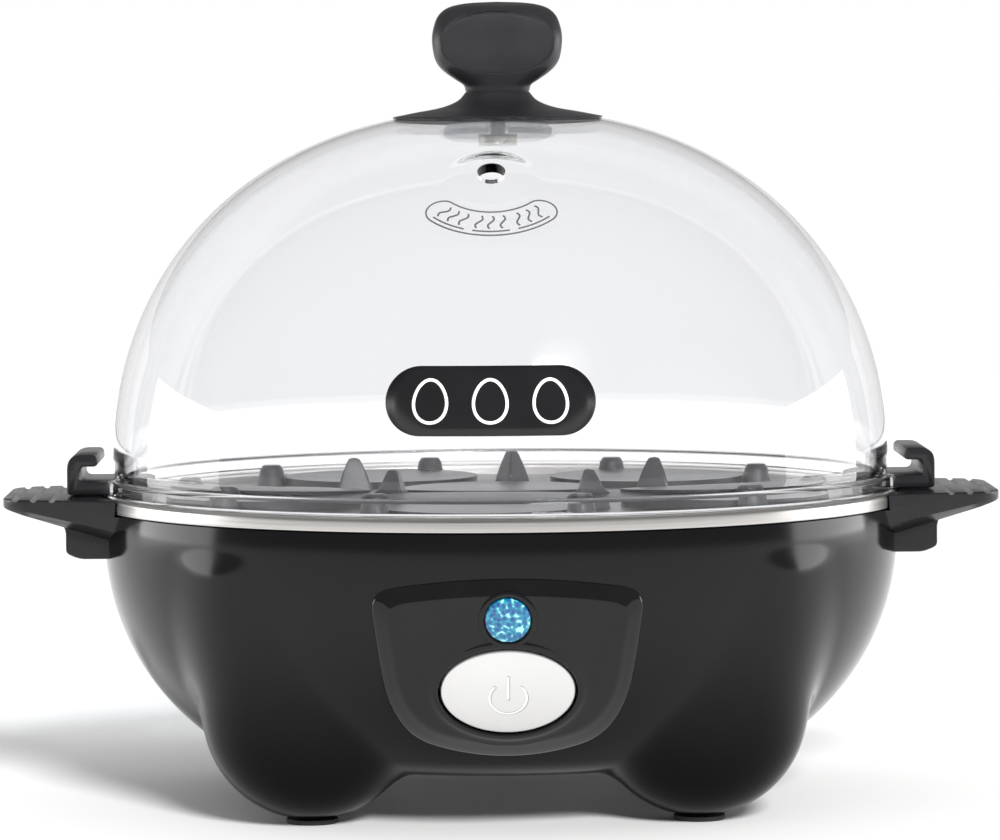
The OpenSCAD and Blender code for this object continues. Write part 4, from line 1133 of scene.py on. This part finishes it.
def on_dome(across, up, base_r, lift=0.06, turn=PRINT_TURN):
    """Points just outside the dome's front: across round it and up along it from radius base_r."""
    across, up = np.asarray(across, dtype=float), np.asarray(up, dtype=float)
    table_r = np.linspace(0, LID_R * 0.999, 900)
    table_z = dome_z(table_r)
    along = np.concatenate([[0], np.cumsum(np.hypot(np.diff(table_r), np.diff(table_z)))])
    start = np.interp(base_r, table_r, along)
    r = np.interp(start - up, along, table_r)
    z = np.interp(start - up, along, table_z)
    slope = np.array([dome_slope(k) for k in np.atleast_1d(r).ravel()]).reshape(np.shape(r))
    r, z = r + lift * np.cos(slope), z + lift * np.sin(slope)
    turn = across / base_r + turn
    return np.stack([r * np.sin(turn), -r * np.cos(turn), z], axis=-1)


def print_patch(name, edge, base_r, material, lift, slot="knob_black"):
    """Thin printed shape on the dome inside a closed edge of (across, up)."""
    edge = np.asarray(edge, dtype=float)
    middle = edge.mean(axis=0)
    loops = []
    for share in (0.02, 0.25, 0.5, 0.75, 1.0):
        p = middle + (edge - middle) * share
        loops.append(on_dome(p[:, 0], p[:, 1], base_r, lift + 0.05))
    loops.append(on_dome(edge[:, 0], edge[:, 1], base_r, 0.0))
    patch = loft(name, loops, material, cap_first=True)
    settle(patch, "lid", slot)


def print_line(name, line, width, base_r, material, lift, closed=False, slot="knob_black"):
    """Thin printed line on the dome along points of (across, up)."""
    line = np.asarray(line, dtype=float)
    if closed:
        ahead = np.roll(line, -1, axis=0) - np.roll(line, 1, axis=0)
    else:
        ahead = np.gradient(line, axis=0)
    ahead /= np.linalg.norm(ahead, axis=1, keepdims=True)
    side = np.stack([-ahead[:, 1], ahead[:, 0]], axis=1) * width / 2
    left, right = line + side, line - side
    rows = [
        on_dome(left[:, 0], left[:, 1], base_r, 0.0), on_dome(left[:, 0], left[:, 1], base_r, lift + 0.04),
        on_dome(right[:, 0], right[:, 1], base_r, lift + 0.04),
        on_dome(right[:, 0], right[:, 1], base_r, 0.0),
    ]
    loops = np.stack(rows, axis=1)
    obj = loft(name, loops, material, cap_first=not closed, cap_last=not closed, closed=closed)
    settle(obj, "lid", slot)


def capsule(width, height, steps=24):
    """Closed edge of a capsule."""
    r, half = height / 2, width / 2 - height / 2
    caps = np.linspace(-math.pi / 2, math.pi / 2, steps)
    straight = np.linspace(half, -half, steps)[1:-1]
    return np.array([
        *((half + r * math.cos(a), r * math.sin(a)) for a in caps), *((x, r) for x in straight),
        *((-half - r * math.cos(a), -r * math.sin(a)) for a in caps), *((-x, -r) for x in straight),
    ])


def curled(points, radius):
    """Bends points of (across, up) into an arc hung below a centre that lies radius above."""
    points = np.asarray(points, dtype=float)
    a = points[:, 0] / radius
    far = radius - points[:, 1]
    return np.stack([far * np.sin(a), radius - far * np.cos(a)], axis=1)


def make_prints():
    """A steam mark in a curled capsule, and a badge with three egg outlines."""
    drop, label_r = 15.6, 54.6
    print_line("steam_label_edge", curled(capsule(25.4, 5.6), drop), 0.3, label_r, INK_LOOK, 0.02,
        closed=True)
    t = np.linspace(-1, 1, 20)
    for i in range(9):
        x = 2.15 * (i - 4) + 0.75 * (i // 3 - 1)
        wave = np.stack([x + 0.42 * np.sin(t * math.pi) + 0.25 * t, 1.5 * t + 0.25], axis=1)
        print_line(f"steam_wave_{i}", curled(wave, drop), 0.34, label_r, INK_LOOK, 0.02)
    for i in range(3):
        bar = np.stack([2.9 * t + 7.2 * (i - 1), -1.9 + 0 * t], axis=1)
        print_line(f"steam_bar_{i}", curled(bar, drop), 0.3, label_r, INK_LOOK, 0.02)
    badge_r = float(np.interp(77.6, [dome_z(70.6), dome_z(69.0)], [70.6, 69.0]))
    print_patch("badge", capsule(37, 12.4), badge_r, BADGE_LOOK, 0.02)
    a = np.linspace(0, 2 * math.pi, 48, endpoint=False)
    for i, x in enumerate((-10.5, 0, 10.5)):
        egg = np.stack([x + (2.9 - 0.35 * np.sin(a)) * np.cos(a), 3.8 * np.sin(a) - 0.1], axis=1)
        print_line(f"badge_egg_{i}", egg, 0.55, badge_r, WHITE_LOOK, 0.1, closed=True)


def make_knob():
    """Flat-sided knob with a finger dimple front and back and a flared foot."""
    foot, top = dome_z(19.5), KNOB_HIGH[2]
    outline = through(
        [
            (5.2, foot + 0.2), (5.3, foot + 3.6), (5.6, foot + 4.6), (5.95, foot + 5.3),
            (6.3, foot + 6.3), (7.9, foot + 7.4),
            (9.6, foot + 8.6), (10.9, foot + 9.9), (11.7, foot + 11.6), (12.1, foot + 14.6),
            (11.8, foot + 17.0),
            (10.9, foot + 19.2), (9.0, foot + 20.7), (5.5, top - 0.25), (0.05, top),
        ],
        150,
    )
    depths = through(
        [
            (4.9, foot), (5.0, foot + 3.6), (5.3, foot + 6), (6.4, foot + 10), (6.9, foot + 14.5),
            (6.2, foot + 18.5), (4.6, foot + 20.8), (0.05, top),
        ],
        200,
    )
    cols = 256
    turn = np.linspace(0, 2 * math.pi, cols, endpoint=False)
    power = 2 / 2.7
    c, s = np.cos(turn), np.sin(turn)
    ring = np.stack([np.sign(c) * np.abs(c) ** power, np.sign(s) * np.abs(s) ** power], axis=1)
    loops = []
    for w, z in outline:
        d = np.interp(z, depths[:, 1], depths[:, 0])
        x, y = ring[:, 0] * w, ring[:, 1] * min(d, max(w, 0.05))
        rho = (np.abs(x) / 10.5) ** 2.3 + (np.abs(z - foot - 14.2) / 5.7) ** 2.3
        press = 1.9 * np.clip(1 - rho, 0, 1) ** 0.62
        y = np.where(np.abs(ring[:, 1]) > 0.5, y - np.sign(y) * press, y)
        loops.append(np.stack([x, y, np.full(cols, z)], axis=1))
    head = loft("knob_head", loops, KNOB_LOOK, cap_first=True, cap_last=True)
    head.data.materials.append(DIMPLE_LOOK)
    for face in head.data.polygons:
        x, y, z = face.center / MM
        rho = (abs(x) / 10.5) ** 2.3 + (abs(z - foot - 14.2) / 5.7) ** 2.3
        face.material_index = 1 if rho < 0.97 and abs(y) > 2 else 0
    flare = through([(19.4, foot + 0.45), (15.3, foot + 1.25), (10.5, foot + 2.15), (7.4, foot + 3.4),
        (5.9, foot + 5.0)], 26)
    under = [(r, dome_z(r) + 0.1) for r in np.linspace(4.2, 19.3, 14)]
    skirt = revolve("knob_skirt", [(4.2, foot + 5.0), *under, (19.5, foot + 0.15), *flare], KNOB_LOOK, 192)
    knob = join("knob", head, skirt)
    return settle(sharpen(knob, 50), "lid", "knob_black", "lid_knob")


# ---------------------------------------------------------------- floor, light and camera


def make_floor():
    look = Look("floor", (0.86, 0.86, 0.86), 0.6)
    look.colour(look.ramp(look.noise(3, 2), (0.3, (0.86, 0.86, 0.855)), (0.7, (0.88, 0.88, 0.875))))
    points = [(x, y, 0) for y in (-2500, 1600) for x in (-3000, 3000)]
    floor = new_object("floor", points, [(0, 1, 3, 2)], look.material)


def lamp(name, place, aim, size, power):
    """Soft rectangular lamp; place, aim and size in millimetres."""
    data = bpy.data.lights.new(name, "AREA")
    data.shape = "RECTANGLE"
    data.size, data.size_y = (k * MM for k in size)
    data.energy = power
    obj = bpy.data.objects.new(name, data)
    bpy.context.scene.collection.objects.link(obj)
    obj.location = Vector(place) * MM
    obj.rotation_euler = (Vector(aim) - Vector(place)).to_track_quat("-Z", "Y").to_euler()
    obj.visible_camera = obj.visible_transmission = False


def make_world():
    """White surroundings, dimmer for diffuse light and for gloss, and white again through the dome."""
    world = bpy.data.worlds.new("studio")
    bpy.context.scene.world = world
    world.use_nodes = True
    nodes, links = world.node_tree.nodes, world.node_tree.links
    rays = nodes.new("ShaderNodeLightPath")
    strength = None
    for ray, dimmed in (("Is Diffuse Ray", 0.6), ("Is Glossy Ray", 0.26), ("Is Transmission Ray", 1.0)):
        mix = nodes.new("ShaderNodeMix")
        links.new(rays.outputs[ray], mix.inputs["Factor"])
        if strength is None:
            mix.inputs["A"].default_value = 1.0
        else:
            links.new(strength, mix.inputs["A"])
        mix.inputs["B"].default_value = dimmed
        strength = mix.outputs["Result"]
    links.new(strength, nodes["Background"].inputs["Strength"])
    nodes["Background"].inputs["Color"].default_value = (1, 1, 1, 1)


def make_sun():
    """Broad key light from the front, low and a little to the right."""
    data = bpy.data.lights.new("key", "SUN")
    data.energy = 5.4
    data.angle = math.radians(14)
    obj = bpy.data.objects.new("key", data)
    bpy.context.scene.collection.objects.link(obj)
    obj.rotation_euler = Vector((-27, 93, -52)).to_track_quat("-Z", "Y").to_euler()
    obj.visible_glossy = False


def make_light():
    """White surroundings, the key light, two low side lamps and one behind for the edges."""
    make_world()
    make_sun()
    lamp("left", (-1000, 300, 130), (0, 0, 30), (700, 240), 2.2)
    lamp("right", (1000, 300, 130), (0, 0, 30), (700, 240), 2.4)
    lamp("back", (0, 1500, 190), (0, 0, 60), (2600, 360), 1.5)


def make_camera():
    """Level-eye view from the front, a little to the left and above."""
    data = bpy.data.cameras.new("camera")
    data.lens = 193.2
    data.sensor_width = 36
    data.clip_start, data.clip_end = 0.05, 50
    camera = bpy.data.objects.new("camera", data)
    bpy.context.scene.collection.objects.link(camera)
    eye = Vector((-14.8, -999.9, 127.7))
    aim = Vector((0, 0, 70.6))
    camera.location = eye * MM
    turn = (aim - eye).to_track_quat("-Z", "Y").to_euler()
    turn.rotate_axis("Z", math.radians(-0.45))
    camera.rotation_euler = turn
    bpy.context.scene.camera = camera


make_camera()
make_floor()
make_light()
dress_carried()
make_bowl()
make_cord_boss()
make_gland()
make_pads()
make_plate()
make_wing(1)
make_wing(-1)
make_panel()
make_lens()
make_button()
make_tray()
make_fins()
make_tab(1)
make_tab(-1)
make_dome()
make_prints()
make_knob()

bpy.context.scene.view_settings.view_transform = "Standard"
